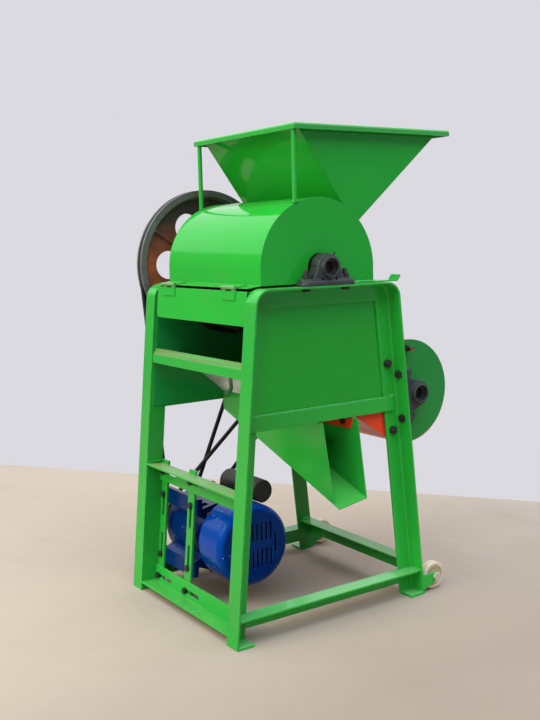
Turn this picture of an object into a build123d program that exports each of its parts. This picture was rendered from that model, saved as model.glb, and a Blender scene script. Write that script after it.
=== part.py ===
from build123d import *

import os
from math import acos, asin, atan, atan2, ceil, cos, degrees, hypot, radians, sin, sqrt

# Peanut sheller on a splayed angle-steel stand, in millimetres.
# Z is up and the floor is Z = 0. Y is the drum axis: the chute mouth is at -Y, the belts are at +Y.
# X runs from the hull outlet and motor end (-X) to the blower end (+X).
# Places are worked out from the middle of the four legs, and moved at the end so that the
# middle of the whole outline is over the origin.

# Side frames, bent from angle steel
STEEL_W = 40.0
STEEL_T = 4.0
ROOT_R = 5.0
FRAME_DEPTH = 456.0
FRAME_H = 701.0
FOOT_SPAN = 496.0
TOP_SPAN = 359.0
CORNER_R = 34.0
FOOT_T = 5.0

# Side panels and rails
PANEL_T = 1.5
PANEL_LAP = 8.0
PANEL_UP = 4.0
RAIL_DROP = 281.0
RAIL_W = 30.0
RAIL_T = 4.0
RAIL_SHORT = 12.0
LOW_RAIL_TOP = 56.0
LOW_RAIL_DROP = 32.0
LOW_RAIL_W = 36.0

# Cross members, placed by their distance up the splayed legs
MOTOR_CROSS_TOP = 296.0
MOTOR_CROSS_BOTTOM = 17.0
BLOWER_CROSS_TOP = 81.0
BLOWER_LEDGE = 29.0
REST_W = 30.0
REST_DROP = 11.0
REST_X = 140.0
END_PANEL_DEG = 118.0

# Hull outlet at the -X end
SHEET_T = 2.0
GUARD_BELOW = 4.3
GUARD_H = 68.0
GUARD_SHORT = 11.0
GUARD_ROUND = 12.0
GUARD_FOLD = 14.0
GUARD_NOTCH_W = 3.0
GUARD_NOTCH_H = 25.0
GUARD_NOTCH_DOWN = 27.0
SILL_DROP = 176.0
SILL_BAND = 19.0
SILL_LIP = 13.0
SILL_LEAN = 8.0
SILL_T = 3.0
SLIDE_T = 1.2
SLIDE_SLOPE = 0.84

# Kernel chute
CHUTE_X0 = -11.0
CHUTE_W = 87.0
CHUTE_T = 2.0
CHUTE_LEFT_UP = 23.0
CHUTE_RIGHT_UP = 1.0
CHUTE_BACK_DROP = 23.0
CHUTE_LIP_OUT = 10.0
CHUTE_LIP_DROP = 167.0
CHUTE_TIP = 17.0
MOUTH_LEFT_OUT = 10.0
MOUTH_RIGHT_OUT = 20.0

# Bearing blocks: base, bore height and bolt spacing of a 25 mm pillow block
SHAFT_R = 12.5
BLOCK_L = 134.0
BLOCK_W = 38.0
BLOCK_BASE_H = 15.0
BLOCK_CENTRE = 36.5
BLOCK_PITCH = 98.0
BLOCK_RING_R = 28.0
BLOCK_RING_W = 30.0
BLOCK_BOSS_R = 21.5
BLOCK_BOSS_W = 44.0
RING_R = 17.0
RING_W = 26.0
RUN_CLEAR = 0.05
SHAFT_INSIDE = 1.0

# Shelling drum and concave
DISC_R = 108.0
DISC_T = 6.0
DISC_SPACING = 150.0
BEATER_R = 126.0
BEATER_DEPTH = 28.0
BEATER_W = 24.0
BEATER_GAP = 16.5
BEATER_COUNT = 4
CONCAVE_GAP = 13.5
ROD_R = 3.5
ROD_PITCH_DEG = 6.5
CONCAVE_ARC = 130.0
RIB_DEPTH = 14.0
RIB_T = 5.0
RIB_SPACING = 150.0

# Belt drive
BELT_W = 10.0
BELT_H = 8.0
BELT_GAP = 0.4
GROOVE_W = 11.6
MAIN_BELT_OUT = 41.0
FAN_BELT_OUT = 26.0
DRUM_PULLEY_R = 178.0
DRUM_PULLEY_W = 22.0
DRUM_RIM = 15.0
DRUM_WEB_T = 8.0
DRUM_HUB_R = 38.0
DRUM_HUB_W = 36.0
LIGHT_HOLE_R = 33.0
LIGHT_HOLE_OUT = 102.0
LIGHT_HOLE_COUNT = 6
LIGHT_HOLE_START = 118.0
WEB_RIB_T = 8.0
WEB_RIB_PROUD = 4.0
MOTOR_MAIN_R = 30.0
MOTOR_FAN_R = 48.0
FAN_PULLEY_R = 33.0
PULLEY_W = 15.0

# Motor, 90 mm shaft height, hung sideways on two slotted bars
MOTOR_H = 90.0
MOTOR_A = 140.0
MOTOR_B = 125.0
MOTOR_IN = 76.5
MOTOR_RISE = -1.5
BAR_T = 5.0
BAR_W = 28.0
BAR_OVER_TOP = 8.0
BAR_OVER_BOTTOM = 2.0
BAR_SLOT_L = 56.0
BAR_SLOT_W = 9.0
CROSS_SLOT_L = 55.0
CROSS_BOLT_IN = 22.0
FOOT_PAD_T = 12.0
FOOT_PAD_W = 34.0
FOOT_PAD_L = 165.0
BARREL_R = 80.0
BARREL_T = 7.0
BARREL_L = 150.0
SHIELD_T = 14.0
SHIELD_BOSS_R = 34.0
SHIELD_BOSS_L = 10.0
COWL_R = 89.5
COWL_T = 1.5
COWL_L = 87.0
COWL_ROUND = 18.0
LOUVRE_W = 4.5
LOUVRE_PITCH = 11.6
LOUVRE_H = 40.0
LOUVRE_SIDE_H = 44.0
LOUVRE_GAP = 18.0
LOUVRE_REACH = 64.0
MOTOR_SHAFT_R = 12.0
MOTOR_SHAFT_TAIL = 34.0
CORE_R = 44.0
CORE_L = 90.0
CORE_GAP = 1.0
STATOR_L = 100.0
COOLER_R = 74.0
COOLER_HUB_R = 22.0
COOLER_W = 34.0
COOLER_BLADE_T = 3.0
COOLER_BLADES = 8
EYE_R = 9.0
EYE_UP = 108.0
EYE_BACK = 6.5
CAP_R = 26.0
CAP_OFFSET = 115.0
CAP_LEAN = 26.0
CAP_L = 142.0
CAP_BACK = 141.5
CAP_ROUND = 4.0
CAP_SADDLE_W = 34.0
CAP_SADDLE_IN = 12.0

# Blower
FAN_DROP = 247.5
SCROLL_R = 112.5
SCROLL_T = 1.5
CHEEK_T = 1.5
FAN_DISC_T = 2.0
FAN_DISC_IN = 0.5
FAN_DISC_SHIFT = (-1.2, 1.8)
FAN_DISC_LAP = 6.0
FAN_SHAFT_GAP = 2.0
FAN_INLET_R = 62.0
TONGUE_DEG = 147.0
DUCT_RISE_DEG = 33.4
DUCT_LIP_DROP = 36.0
DUCT_EAR_OUT = 14.0
DUCT_EAR_LOW_OUT = 6.0
DUCT_EAR_R = 5.0
BLADE_R = 102.0
BLADE_ROOT_R = 40.0
BLADE_T = 3.0
BLADE_GAP = 19.5
BLADE_COUNT = 4
SPIDER_R = 58.0
SPIDER_T = 5.0
SPIDER_SPACING = 200.0
HOUSING_BOLT_GAUGE = 23.0
HOUSING_BOLT_SPAN = 148.0
HOUSING_BOLT_DROP = 3.5
DISC_STUD_DEG = 94.0
DISC_STUD_OUT = 96.5
DISC_STUD_L = 10.0
DUCT_BOLT_IN = 19.5
DUCT_BOLT_PITCH = 227.0
DUCT_BOLT_DROP = 21.0

# Drum cover, hinged at its -X edge
COVER_R = 143.0
COVER_AXIS_DROP = 2.5
COVER_T = 1.5
COVER_GAP = 2.0
COVER_LIFT = 4.0
COVER_NOTCH_R = 28.0
FLARE_DROP = 3.5
HINGE_LIFT = 2.0
HINGE_KNUCKLE_R = 4.0
HINGE_PIN_R = 2.0
HINGE_W = 50.0
HINGE_MID = 20.0
HINGE_GAP = 0.5
HINGE_LEAF_T = 2.0
HINGE_LEAF_H = 18.0
HINGE_FRONT = 125.0
HINGE_REAR = 122.0
HINGE_FLARE_GAP = 1.2
LEAF_GAP = 14.5
CLIP_W = 28.0
CLIP_T = 3.0
CLIP_FLAT = 66.0
CLIP_RISE_L = 15.0
CLIP_RISE_DEG = 52.0

# Hopper
RIM_X0 = -62.0
RIM_L = 418.0
RIM_OVER = 10.0
RIM_RISE = 321.5
RIM_FLANGE = 17.0
RIM_LIP = 13.0
RIM_T = 2.0
HOPPER_T = 1.5
THROAT_LOW_DEG = 40.8
THROAT_HIGH_DEG = 58.6
POST_R = 5.0
POST_OVERHANG = 2.0

# Transport wheels
WHEEL_R = 30.5
WHEEL_W = 20.0
WHEEL_LIFT = 0.5
WHEEL_REACH = 42.0
WHEEL_HUB_R = 12.0
WHEEL_WEB_W = 12.0
WHEEL_TREAD = 8.0
WHEEL_GAP = 1.0
BRACKET_T = 4.0
BRACKET_END_R = 10.0
BRACKET_LOW = 3.0
BRACKET_H = 36.0

# Fasteners
BLOCK_BOLT_D = 10.0
MOTOR_BOLT_D = 8.0
HOLE_CLEAR = 0.5
BOLT_STUB = 4.0

# Worked-out places
SLOPE = (FOOT_SPAN - TOP_SPAN) / 2 / FRAME_H
SPLAY = degrees(atan(SLOPE))
Y_OUT = FRAME_DEPTH / 2
Y_HEEL = Y_OUT - STEEL_W
Y_WEB = Y_HEEL + STEEL_T
Y_PANEL = Y_HEEL - PANEL_T
Y_CHEEK = Y_PANEL - FAN_DISC_T
BLOCK_Y = (Y_OUT + Y_HEEL) / 2
MAIN_BELT_Y = Y_OUT + MAIN_BELT_OUT
FAN_BELT_Y = Y_OUT + FAN_BELT_OUT
MOTOR_Y = Y_HEEL - MOTOR_IN
EYE_Y = MOTOR_Y - EYE_BACK
CAP_Y0 = MOTOR_Y - CAP_BACK
CAP_Y1 = CAP_Y0 + CAP_L
DUCT_BOLT_Y = (DUCT_BOLT_IN - Y_PANEL, DUCT_BOLT_IN + DUCT_BOLT_PITCH - Y_PANEL)
HINGE_Y = (-HINGE_FRONT, HINGE_REAR)
CHUTE_LIP_Y = -Y_OUT - CHUTE_LIP_OUT
CHUTE_TIP_Y = CHUTE_LIP_Y - CHUTE_TIP
BEATER_L = 2 * (Y_PANEL - BEATER_GAP)
BLADE_L = 2 * (Y_CHEEK - BLADE_GAP)
COVER_L = 2 * (BLOCK_Y - BLOCK_W / 2 - COVER_GAP)
LID_LEAF_L = TOP_SPAN / 2 - COVER_R - LEAF_GAP
RIM_W = COVER_L + 2 * RIM_OVER
FAN_UP = FRAME_H - FAN_DROP
RAIL_BOTTOM = FRAME_H - RAIL_DROP
PANEL_BOTTOM = RAIL_BOTTOM + PANEL_UP
REST_TOP = FRAME_H - REST_DROP
GUARD_TOP = FRAME_H / cos(radians(SPLAY)) - GUARD_BELOW
GUARD_BOTTOM = GUARD_TOP - GUARD_H
SILL_BOTTOM = FRAME_H - SILL_DROP
SILL_FOLD = SILL_BOTTOM + SILL_BAND
SILL_TOP = SILL_FOLD + SILL_LIP
CHUTE_LEFT_TOP = RAIL_BOTTOM + CHUTE_LEFT_UP
CHUTE_RIGHT_TOP = RAIL_BOTTOM + CHUTE_RIGHT_UP
CHUTE_BACK_Z = RAIL_BOTTOM - CHUTE_BACK_DROP
CHUTE_LIP_Z = RAIL_BOTTOM - CHUTE_LIP_DROP
DRUM_Z = FRAME_H + BLOCK_CENTRE
COVER_AXIS_Z = DRUM_Z - COVER_AXIS_DROP
COVER_BOTTOM = FRAME_H + COVER_LIFT
HINGE_Z = FRAME_H + HINGE_LIFT
RIM_TOP = FRAME_H + RIM_RISE
MOTOR_UP = (MOTOR_CROSS_TOP + MOTOR_CROSS_BOTTOM) / 2 + MOTOR_RISE
LEFT_END = Pos(-FOOT_SPAN / 2, 0, 0) * Rot(0, SPLAY, 0)
RIGHT_END = Pos(FOOT_SPAN / 2, 0, 0) * Rot(0, -SPLAY, 0)
MOTOR_AXIS = (LEFT_END * Pos(STEEL_W + BAR_T + MOTOR_H, 0, MOTOR_UP)).position
FAN_AXIS = (RIGHT_END * Pos(BLOCK_CENTRE, 0, FAN_UP)).position
DRUM = (0.0, DRUM_Z)
MOTOR = (MOTOR_AXIS.X, MOTOR_AXIS.Z)
FAN = (FAN_AXIS.X, FAN_AXIS.Z)
BAR_YS = (MOTOR_Y - MOTOR_B / 2, MOTOR_Y + MOTOR_B / 2)
BARREL_Y0 = MOTOR_Y - FOOT_PAD_L / 2 - SHIELD_T / 2
BARREL_Y1 = BARREL_Y0 + BARREL_L
CHUTE_X1 = CHUTE_X0 + CHUTE_W
WHEEL_Z = WHEEL_R + WHEEL_LIFT
WHEEL_X = FOOT_SPAN / 2 - SLOPE * WHEEL_Z + WHEEL_REACH
MIDDLE_X = (RIM_X0 + RIM_L - FOOT_SPAN / 2) / 2
MIDDLE_Y = (CHUTE_TIP_Y + MAIN_BELT_Y + DRUM_HUB_W / 2) / 2


def leg_x(z):
    """Outer face of a right-hand leg at a height."""
    return FOOT_SPAN / 2 - SLOPE * z


def box(x0, x1, y0, y1, z0, z1):
    """A block between two corners."""
    centre = Pos((x0 + x1) / 2, (y0 + y1) / 2, (z0 + z1) / 2)
    return centre * Box(x1 - x0, y1 - y0, z1 - z0)


def prism(face, y0, y1):
    """A sketch drawn in X and Z, made solid from y0 to y1."""
    return extrude(Plane.XZ.offset(-y1) * face, amount=y1 - y0, dir=(0, -1, 0))


def side_prism(face, x0, x1):
    """A sketch drawn in Y and Z, made solid from x0 to x1."""
    return extrude(Plane.YZ.offset(x0) * face, amount=x1 - x0, dir=(1, 0, 0))


def outline(*points):
    """A straight-sided sketch through points."""
    return Polygon(*points, align=None)


def cyl_x(y, z, r, x0, x1):
    """A round bar along X."""
    return Pos((x0 + x1) / 2, y, z) * Rot(0, 90, 0) * Cylinder(r, x1 - x0)


def cyl_y(x, z, r, y0, y1):
    """A round bar along Y."""
    return Pos(x, (y0 + y1) / 2, z) * Rot(90, 0, 0) * Cylinder(r, y1 - y0)


def cyl_z(x, y, r, z0, z1):
    """A round bar along Z."""
    return Pos(x, y, (z0 + z1) / 2) * Cylinder(r, z1 - z0)


def turned(points, x, z):
    """A turned piece: radius and Y pairs spun about an axis along Y."""
    return Pos(x, 0, z) * revolve(outline(*points), Axis.Y, 360)


def polar(centre, r, angle):
    """A point in X and Z at a radius and an angle from +X."""
    return (centre[0] + r * cos(radians(angle)), centre[1] + r * sin(radians(angle)))


def to_front(piece):
    """The same piece on the other side of the machine."""
    return mirror(piece, Plane.XZ)


def both_sides(piece):
    """A rear piece with its front twin, front first."""
    return [to_front(piece), piece]


def hex_bolt(d, grip):
    """A bolt with its nut on, along +Z, its head under Z = 0."""
    head = Pos(0, 0, -0.65 * d) * extrude(RegularPolygon(0.8 * d, 6, major_radius=False), 0.65 * d)
    nut = Pos(0, 0, grip) * extrude(RegularPolygon(0.8 * d, 6, major_radius=False), 0.8 * d)
    return head + nut + cyl_z(0, 0, d / 2, 0, grip + 0.8 * d + BOLT_STUB)


def bolt_hole(d):
    """Clearance hole radius for a bolt."""
    return d / 2 + HOLE_CLEAR


def slot_x(x0, x1, y0, y1, z, r):
    """A round-ended slot through X that runs along Y."""
    return box(x0, x1, y0, y1, z - r, z + r) + cyl_x(y0, z, r, x0, x1) + cyl_x(y1, z, r, x0, x1)


def slot_up(x0, x1, y, z0, z1, r):
    """A round-ended slot through X that runs along Z."""
    return box(x0, x1, y - r, y + r, z0, z1) + cyl_x(y, z0, r, x0, x1) + cyl_x(y, z1, r, x0, x1)


# Stand

def housing_bolt_points():
    """Bolts that hold the blower to a leg, on the leg's gauge line."""
    middle = FAN_UP - HOUSING_BOLT_DROP
    heights = (middle - HOUSING_BOLT_SPAN / 2, middle + HOUSING_BOLT_SPAN / 2)
    return [(leg_x(z) - HOUSING_BOLT_GAUGE, z) for z in heights]


def housing_bolt_holes(y0, y1):
    """Clearance holes for the blower bolts on the rear side."""
    radius = bolt_hole(MOTOR_BOLT_D)
    first, second = [cyl_y(x, z, radius, y0, y1) for x, z in housing_bolt_points()]
    return first + second


def frame_outline(inset):
    """Trapezoid of a side frame, drawn in from its outer face, with rounded shoulders."""
    side = inset / cos(radians(SPLAY))
    top = FRAME_H - inset
    low = leg_x(0) - side
    high = leg_x(top) - side
    face = outline((-low, 0), (low, 0), (high, top), (-high, top))
    if inset < CORNER_R:
        face = fillet(face.vertices().sort_by(Axis.Y)[-2:], CORNER_R - inset)
    return face


def is_root(edge):
    """Whether an edge is the inside corner of the bent angle."""
    place = edge @ 0.5
    from_outside = min(leg_x(place.Z) - abs(place.X), FRAME_H - place.Z)
    return abs(place.Y - Y_WEB) < STEEL_T / 8 and from_outside < 0.4 * STEEL_W


def rear_side_frame():
    whole = frame_outline(0)
    flange = prism(whole - frame_outline(STEEL_T), Y_HEEL, Y_OUT)
    frame = flange + prism(whole - frame_outline(STEEL_W), Y_HEEL, Y_WEB)
    frame = fillet([edge for edge in frame.edges() if is_root(edge)], ROOT_R)
    radius = bolt_hole(BLOCK_BOLT_D)
    for half in (-BLOCK_PITCH / 2, BLOCK_PITCH / 2):
        frame -= cyl_z(half, BLOCK_Y, radius, FRAME_H - 2 * STEEL_T, FRAME_H + STEEL_T)
        frame -= RIGHT_END * cyl_x(BLOCK_Y, FAN_UP + half, radius, -2 * STEEL_T, STEEL_T)
    return frame - housing_bolt_holes(Y_HEEL - STEEL_T, Y_OUT)


def rear_side_panel():
    sheet = prism(frame_outline(PANEL_LAP), Y_PANEL, Y_HEEL)
    below = box(-FOOT_SPAN, FOOT_SPAN, 0, Y_OUT, 0, PANEL_BOTTOM)
    return sheet - below - housing_bolt_holes(0, Y_OUT)


def between_legs(z0, z1):
    """Sketch of the space between the outward flanges of a side frame, from z0 to z1."""
    flange = STEEL_T / cos(radians(SPLAY))
    low = leg_x(z0) - flange
    high = leg_x(z1) - flange
    return outline((-low, z0), (low, z0), (high, z1), (-high, z1))


def rear_mid_rail(frame):
    """Flat along the panel's lower edge, which stops short of the blower end's flange."""
    flat = prism(between_legs(RAIL_BOTTOM, RAIL_BOTTOM + RAIL_W), Y_WEB, Y_WEB + RAIL_T) - frame
    return flat - RIGHT_END * box(-STEEL_T - RAIL_SHORT, STEEL_W, 0, FRAME_DEPTH, 0, FRAME_H)


def rear_bottom_rail(frame):
    top = prism(between_legs(LOW_RAIL_TOP - STEEL_T, LOW_RAIL_TOP), Y_HEEL, Y_HEEL + LOW_RAIL_W)
    drop = prism(between_legs(LOW_RAIL_TOP - LOW_RAIL_DROP, LOW_RAIL_TOP), Y_HEEL, Y_WEB)
    return top + drop - frame


def cross_bolt_ups():
    """Distances up the legs of the bolts that hold the slotted bars to the two cross angles."""
    return (MOTOR_CROSS_BOTTOM + STEEL_W - CROSS_BOLT_IN, MOTOR_CROSS_TOP - STEEL_W + CROSS_BOLT_IN)


def cross_angle(flat_up, stand_up):
    """An angle across the motor end: a ledge at flat_up and a standing flange from stand_up."""
    ledge = box(0, STEEL_W, -Y_HEEL, Y_HEEL, flat_up, flat_up + STEEL_T)
    stand = box(STEEL_W - STEEL_T, STEEL_W, -Y_HEEL, Y_HEEL, stand_up, stand_up + STEEL_W)
    angle = ledge + stand
    for up in cross_bolt_ups():
        if stand_up < up < stand_up + STEEL_W:
            for y in BAR_YS:
                x0 = STEEL_W - 2 * STEEL_T
                slot = slot_x(x0, STEEL_W + STEEL_T, y - CROSS_SLOT_L, y, up, BAR_SLOT_W / 2)
                angle -= slot
    return LEFT_END * angle


def motor_cross_angles():
    lower = cross_angle(MOTOR_CROSS_BOTTOM, MOTOR_CROSS_BOTTOM)
    upper = cross_angle(MOTOR_CROSS_TOP - STEEL_T, MOTOR_CROSS_TOP - STEEL_W)
    return lower, upper


def blower_cross_angle():
    ledge = box(-BLOWER_LEDGE, 0, -Y_HEEL, Y_HEEL, BLOWER_CROSS_TOP - STEEL_T, BLOWER_CROSS_TOP)
    hang = box(-STEEL_T, 0, -Y_HEEL, Y_HEEL, BLOWER_CROSS_TOP - STEEL_W, BLOWER_CROSS_TOP)
    return RIGHT_END * (ledge + hang)


def lid_rest_angle():
    """Angle under the cover's free edge, between the side panels."""
    x1 = REST_X + REST_W
    ledge = box(REST_X, x1, -Y_PANEL, Y_PANEL, REST_TOP - STEEL_T, REST_TOP)
    hang = box(x1 - STEEL_T, x1, -Y_PANEL, Y_PANEL, REST_TOP - REST_W, REST_TOP)
    return ledge + hang


def blower_end_panel():
    """Sheet that closes the blower end, from the angle under the cover's edge down to the scroll."""
    x0 = REST_X + REST_W
    foot = polar(FAN, SCROLL_R, END_PANEL_DEG)
    low = REST_TOP - REST_W
    sheet = outline((x0, REST_TOP), (x0, low), foot, (foot[0] + SHEET_T, foot[1]),
                    (x0 + SHEET_T, low), (x0 + SHEET_T, REST_TOP))
    panel = prism(sheet, -Y_PANEL, Y_PANEL) - cyl_y(*FAN, SCROLL_R + SCROLL_T, -Y_OUT, Y_OUT)
    return panel - disc_blank(Y_CHEEK, Y_PANEL) - disc_blank(-Y_PANEL, -Y_CHEEK)


def foot_plates(frame):
    """Plates that close the inside corner of each leg at the floor."""
    inner = leg_x(0) - STEEL_W / cos(radians(SPLAY))
    strip = prism(between_legs(0, FOOT_T), Y_WEB, Y_OUT) - frame
    plates = []
    for side in (-1, 1):
        x0, x1 = sorted((side * inner, side * FOOT_SPAN))
        plates += both_sides(strip & box(x0, x1, 0, FRAME_DEPTH, 0, FOOT_T))
    return plates


def lid_clips():
    """Bent straps on the frame shoulders that the cover's corners come down on."""
    x0 = TOP_SPAN / 2 - CORNER_R - STEEL_W / 2
    x1 = x0 + CLIP_FLAT
    rise = (cos(radians(CLIP_RISE_DEG)), sin(radians(CLIP_RISE_DEG)))
    tip = (x1 + CLIP_RISE_L * rise[0], FRAME_H + CLIP_RISE_L * rise[1])
    back = (tip[0] - CLIP_T * rise[1], tip[1] + CLIP_T * rise[0])
    bend = (x1 - CLIP_T * (1 - rise[0]) / rise[1], FRAME_H + CLIP_T)
    strap = outline((x0, FRAME_H), (x1, FRAME_H), tip, back, bend, (x0, FRAME_H + CLIP_T))
    y0 = COVER_L / 2 - 4 * COVER_T
    return both_sides(prism(strap, y0, y0 + CLIP_W))


# Hull outlet and kernel chute

def guard_line(up, depth):
    """A point of the guard panel's plane, by its distance up the legs and in from their face."""
    place = (LEFT_END * Pos(depth, 0, up)).position
    return (place.X, place.Z)


def hull_guard_panel():
    rear = Y_HEEL - GUARD_SHORT
    face = outline((-Y_HEEL, GUARD_BOTTOM), (rear, GUARD_BOTTOM), (rear, GUARD_TOP), (-Y_HEEL, GUARD_TOP))
    corner = face.vertices().sort_by(Axis.Y)[:2].sort_by(Axis.X)[-1]
    skin = side_prism(fillet(corner, GUARD_ROUND), SHEET_T, 2 * SHEET_T)
    notch_top = GUARD_TOP - GUARD_NOTCH_DOWN
    skin -= box(0, 3 * SHEET_T, -Y_HEEL, GUARD_NOTCH_W - Y_HEEL, notch_top - GUARD_NOTCH_H, notch_top)
    fold = box(SHEET_T, 2 * SHEET_T + GUARD_FOLD, -Y_PANEL, Y_PANEL, GUARD_TOP - SHEET_T, GUARD_TOP)
    return LEFT_END * (skin + fold)


def sill_x(z):
    """Outer face of the hull outlet's sill at a height on its lower, upright band."""
    return SHEET_T - leg_x(z)


def hull_sill():
    """Bent strip across the outlet: an upright band and a band that leans in above it."""
    low = sill_x(SILL_BOTTOM)
    fold = sill_x(SILL_FOLD)
    lean = fold + SILL_LEAN
    strip = outline((low, SILL_BOTTOM), (low + SILL_T, SILL_BOTTOM), (fold + SILL_T, SILL_FOLD),
                    (lean + SILL_T, SILL_TOP), (lean, SILL_TOP), (fold, SILL_FOLD))
    return prism(strip, -Y_PANEL, Y_PANEL)


def hull_slide(sill):
    """Bright sheet that the hulls are blown over: up from the chute's left wall, then flat to the sill."""
    x0 = sill_x(SILL_FOLD)
    bend = CHUTE_X0 - (SILL_FOLD - CHUTE_LEFT_TOP) / SLIDE_SLOPE
    drop = SLIDE_T * hypot(1, SLIDE_SLOPE)
    under_bend = bend - (drop - SLIDE_T) / SLIDE_SLOPE
    sheet = outline((x0, SILL_FOLD), (x0, SILL_FOLD - SLIDE_T), (under_bend, SILL_FOLD - SLIDE_T),
                    (CHUTE_X0, CHUTE_LEFT_TOP - drop), (CHUTE_X0, CHUTE_LEFT_TOP), (bend, SILL_FOLD))
    return prism(sheet, -Y_PANEL, Y_PANEL) - sill


def chute_wall(x0, top, mouth_out):
    """A chute wall in Y and Z that passes under the rail and the panel and is open at the mouth."""
    under_rail = RAIL_BOTTOM - CHUTE_T
    points = [(Y_PANEL, CHUTE_BACK_Z), (Y_PANEL, top), (-Y_PANEL, top), (-Y_PANEL, under_rail),
              (-Y_WEB - mouth_out, under_rail), (CHUTE_LIP_Y, CHUTE_LIP_Z)]
    return side_prism(outline(*points), x0, x0 + CHUTE_T)


def chute_floor_y(z):
    """Place along Y where the chute's sloping floor is at a height."""
    run = Y_PANEL - CHUTE_LIP_Y
    return CHUTE_LIP_Y + run * (z - CHUTE_LIP_Z) / (CHUTE_BACK_Z - CHUTE_LIP_Z)


def chute_floor_z(y):
    """Height of the underside of the chute's sloping floor at a place along Y."""
    share = (y - CHUTE_LIP_Y) / (Y_PANEL - CHUTE_LIP_Y)
    return CHUTE_LIP_Z + share * (CHUTE_BACK_Z - CHUTE_LIP_Z)


def kernel_chute():
    """Two walls and a floor whose front edge is cut askew, so its left corner stands out."""
    left = chute_wall(CHUTE_X0, CHUTE_LEFT_TOP, MOUTH_LEFT_OUT)
    right = chute_wall(CHUTE_X1 - CHUTE_T, CHUTE_RIGHT_TOP, MOUTH_RIGHT_OUT)
    tip_z = chute_floor_z(CHUTE_TIP_Y)
    floor = outline((Y_PANEL, CHUTE_BACK_Z), (Y_PANEL, CHUTE_BACK_Z + CHUTE_T),
                    (CHUTE_TIP_Y, tip_z + CHUTE_T), (CHUTE_TIP_Y, tip_z))
    beyond = outline((CHUTE_X0, 2 * CHUTE_TIP_Y), (CHUTE_X1, 2 * CHUTE_TIP_Y), (CHUTE_X1, CHUTE_LIP_Y),
                     (CHUTE_X0, CHUTE_TIP_Y))
    return left + right + (side_prism(floor, CHUTE_X0, CHUTE_X1) - extrude(beyond, amount=RAIL_BOTTOM))


# Bearings

def pillow_block():
    """Bearing block with its base on Z = 0 and its bore along Y."""
    base = fillet(Rectangle(BLOCK_L, BLOCK_W).vertices(), BLOCK_W / 3)
    block = extrude(base, amount=BLOCK_BASE_H)
    hump = outline((-0.36 * BLOCK_L, BLOCK_BASE_H / 2), (0.36 * BLOCK_L, BLOCK_BASE_H / 2),
                   (0.2 * BLOCK_L, BLOCK_CENTRE), (-0.2 * BLOCK_L, BLOCK_CENTRE))
    block += prism(hump, -0.36 * BLOCK_W, 0.36 * BLOCK_W)
    block += cyl_y(0, BLOCK_CENTRE, BLOCK_RING_R, -BLOCK_RING_W / 2, BLOCK_RING_W / 2)
    block += cyl_y(0, BLOCK_CENTRE, BLOCK_BOSS_R, -BLOCK_BOSS_W / 2, BLOCK_BOSS_W / 2)
    for side in (-1, 1):
        block -= cyl_z(side * BLOCK_PITCH / 2, 0, bolt_hole(BLOCK_BOLT_D), -1, BLOCK_CENTRE)
        block -= cyl_z(side * BLOCK_PITCH / 2, 0, 1.1 * BLOCK_BOLT_D, BLOCK_BASE_H, BLOCK_CENTRE)
    return block - cyl_y(0, BLOCK_CENTRE, RING_R + RUN_CLEAR, -BLOCK_W, BLOCK_W)


def drum_block_place(y):
    return Pos(0, y, FRAME_H)


def fan_block_place(y):
    return RIGHT_END * Pos(0, y, FAN_UP) * Rot(0, 90, 0)


def bearing_rings(axis):
    """Inner bearing rings of one shaft, front and rear."""
    rings = []
    for y in (-BLOCK_Y, BLOCK_Y):
        ring = cyl_y(axis[0], axis[1], RING_R, y - RING_W / 2, y + RING_W / 2)
        rings.append(ring - cyl_y(axis[0], axis[1], SHAFT_R, y - RING_W, y + RING_W))
    return rings


def block_bolts():
    bolts = []
    bolt = hex_bolt(BLOCK_BOLT_D, STEEL_T + BLOCK_BASE_H)
    for y in (-BLOCK_Y, BLOCK_Y):
        for half in (-BLOCK_PITCH / 2, BLOCK_PITCH / 2):
            bolts.append(Pos(half, y, FRAME_H - STEEL_T) * bolt)
            bolts.append(RIGHT_END * Pos(-STEEL_T, y, FAN_UP + half) * Rot(0, 90, 0) * bolt)
    return bolts


# Drum and concave

def drum_shaft():
    y0 = SHAFT_INSIDE - BLOCK_Y
    y1 = MAIN_BELT_Y + DRUM_HUB_W / 2
    return cyl_y(DRUM[0], DRUM[1], SHAFT_R, y0, y1)


def beater_bars():
    bars = []
    for i in range(BEATER_COUNT):
        turn = Pos(DRUM[0], 0, DRUM[1]) * Rot(0, -360 * i / BEATER_COUNT, 0)
        bars.append(turn * box(BEATER_R - BEATER_DEPTH, BEATER_R, -BEATER_L / 2, BEATER_L / 2,
                               -BEATER_W / 2, BEATER_W / 2))
    return bars


def drum_discs(bars):
    discs = []
    for y in (-DISC_SPACING, 0, DISC_SPACING):
        disc = cyl_y(DRUM[0], DRUM[1], DISC_R, y - DISC_T / 2, y + DISC_T / 2)
        disc -= cyl_y(DRUM[0], DRUM[1], SHAFT_R, y - DISC_T, y + DISC_T)
        for bar in bars:
            disc -= bar
        discs.append(disc)
    return discs


def concave_angles():
    """Angles of the concave's rods, evenly spread below the drum."""
    gaps = ceil(CONCAVE_ARC / ROD_PITCH_DEG)
    return [270 - CONCAVE_ARC / 2 + CONCAVE_ARC * i / gaps for i in range(gaps + 1)]


def concave_rods():
    pitch_r = BEATER_R + CONCAVE_GAP + ROD_R
    rods = []
    for angle in concave_angles():
        x, z = polar(DRUM, pitch_r, angle)
        rods.append(cyl_y(x, z, ROD_R, -Y_PANEL, Y_PANEL))
    return rods


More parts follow.
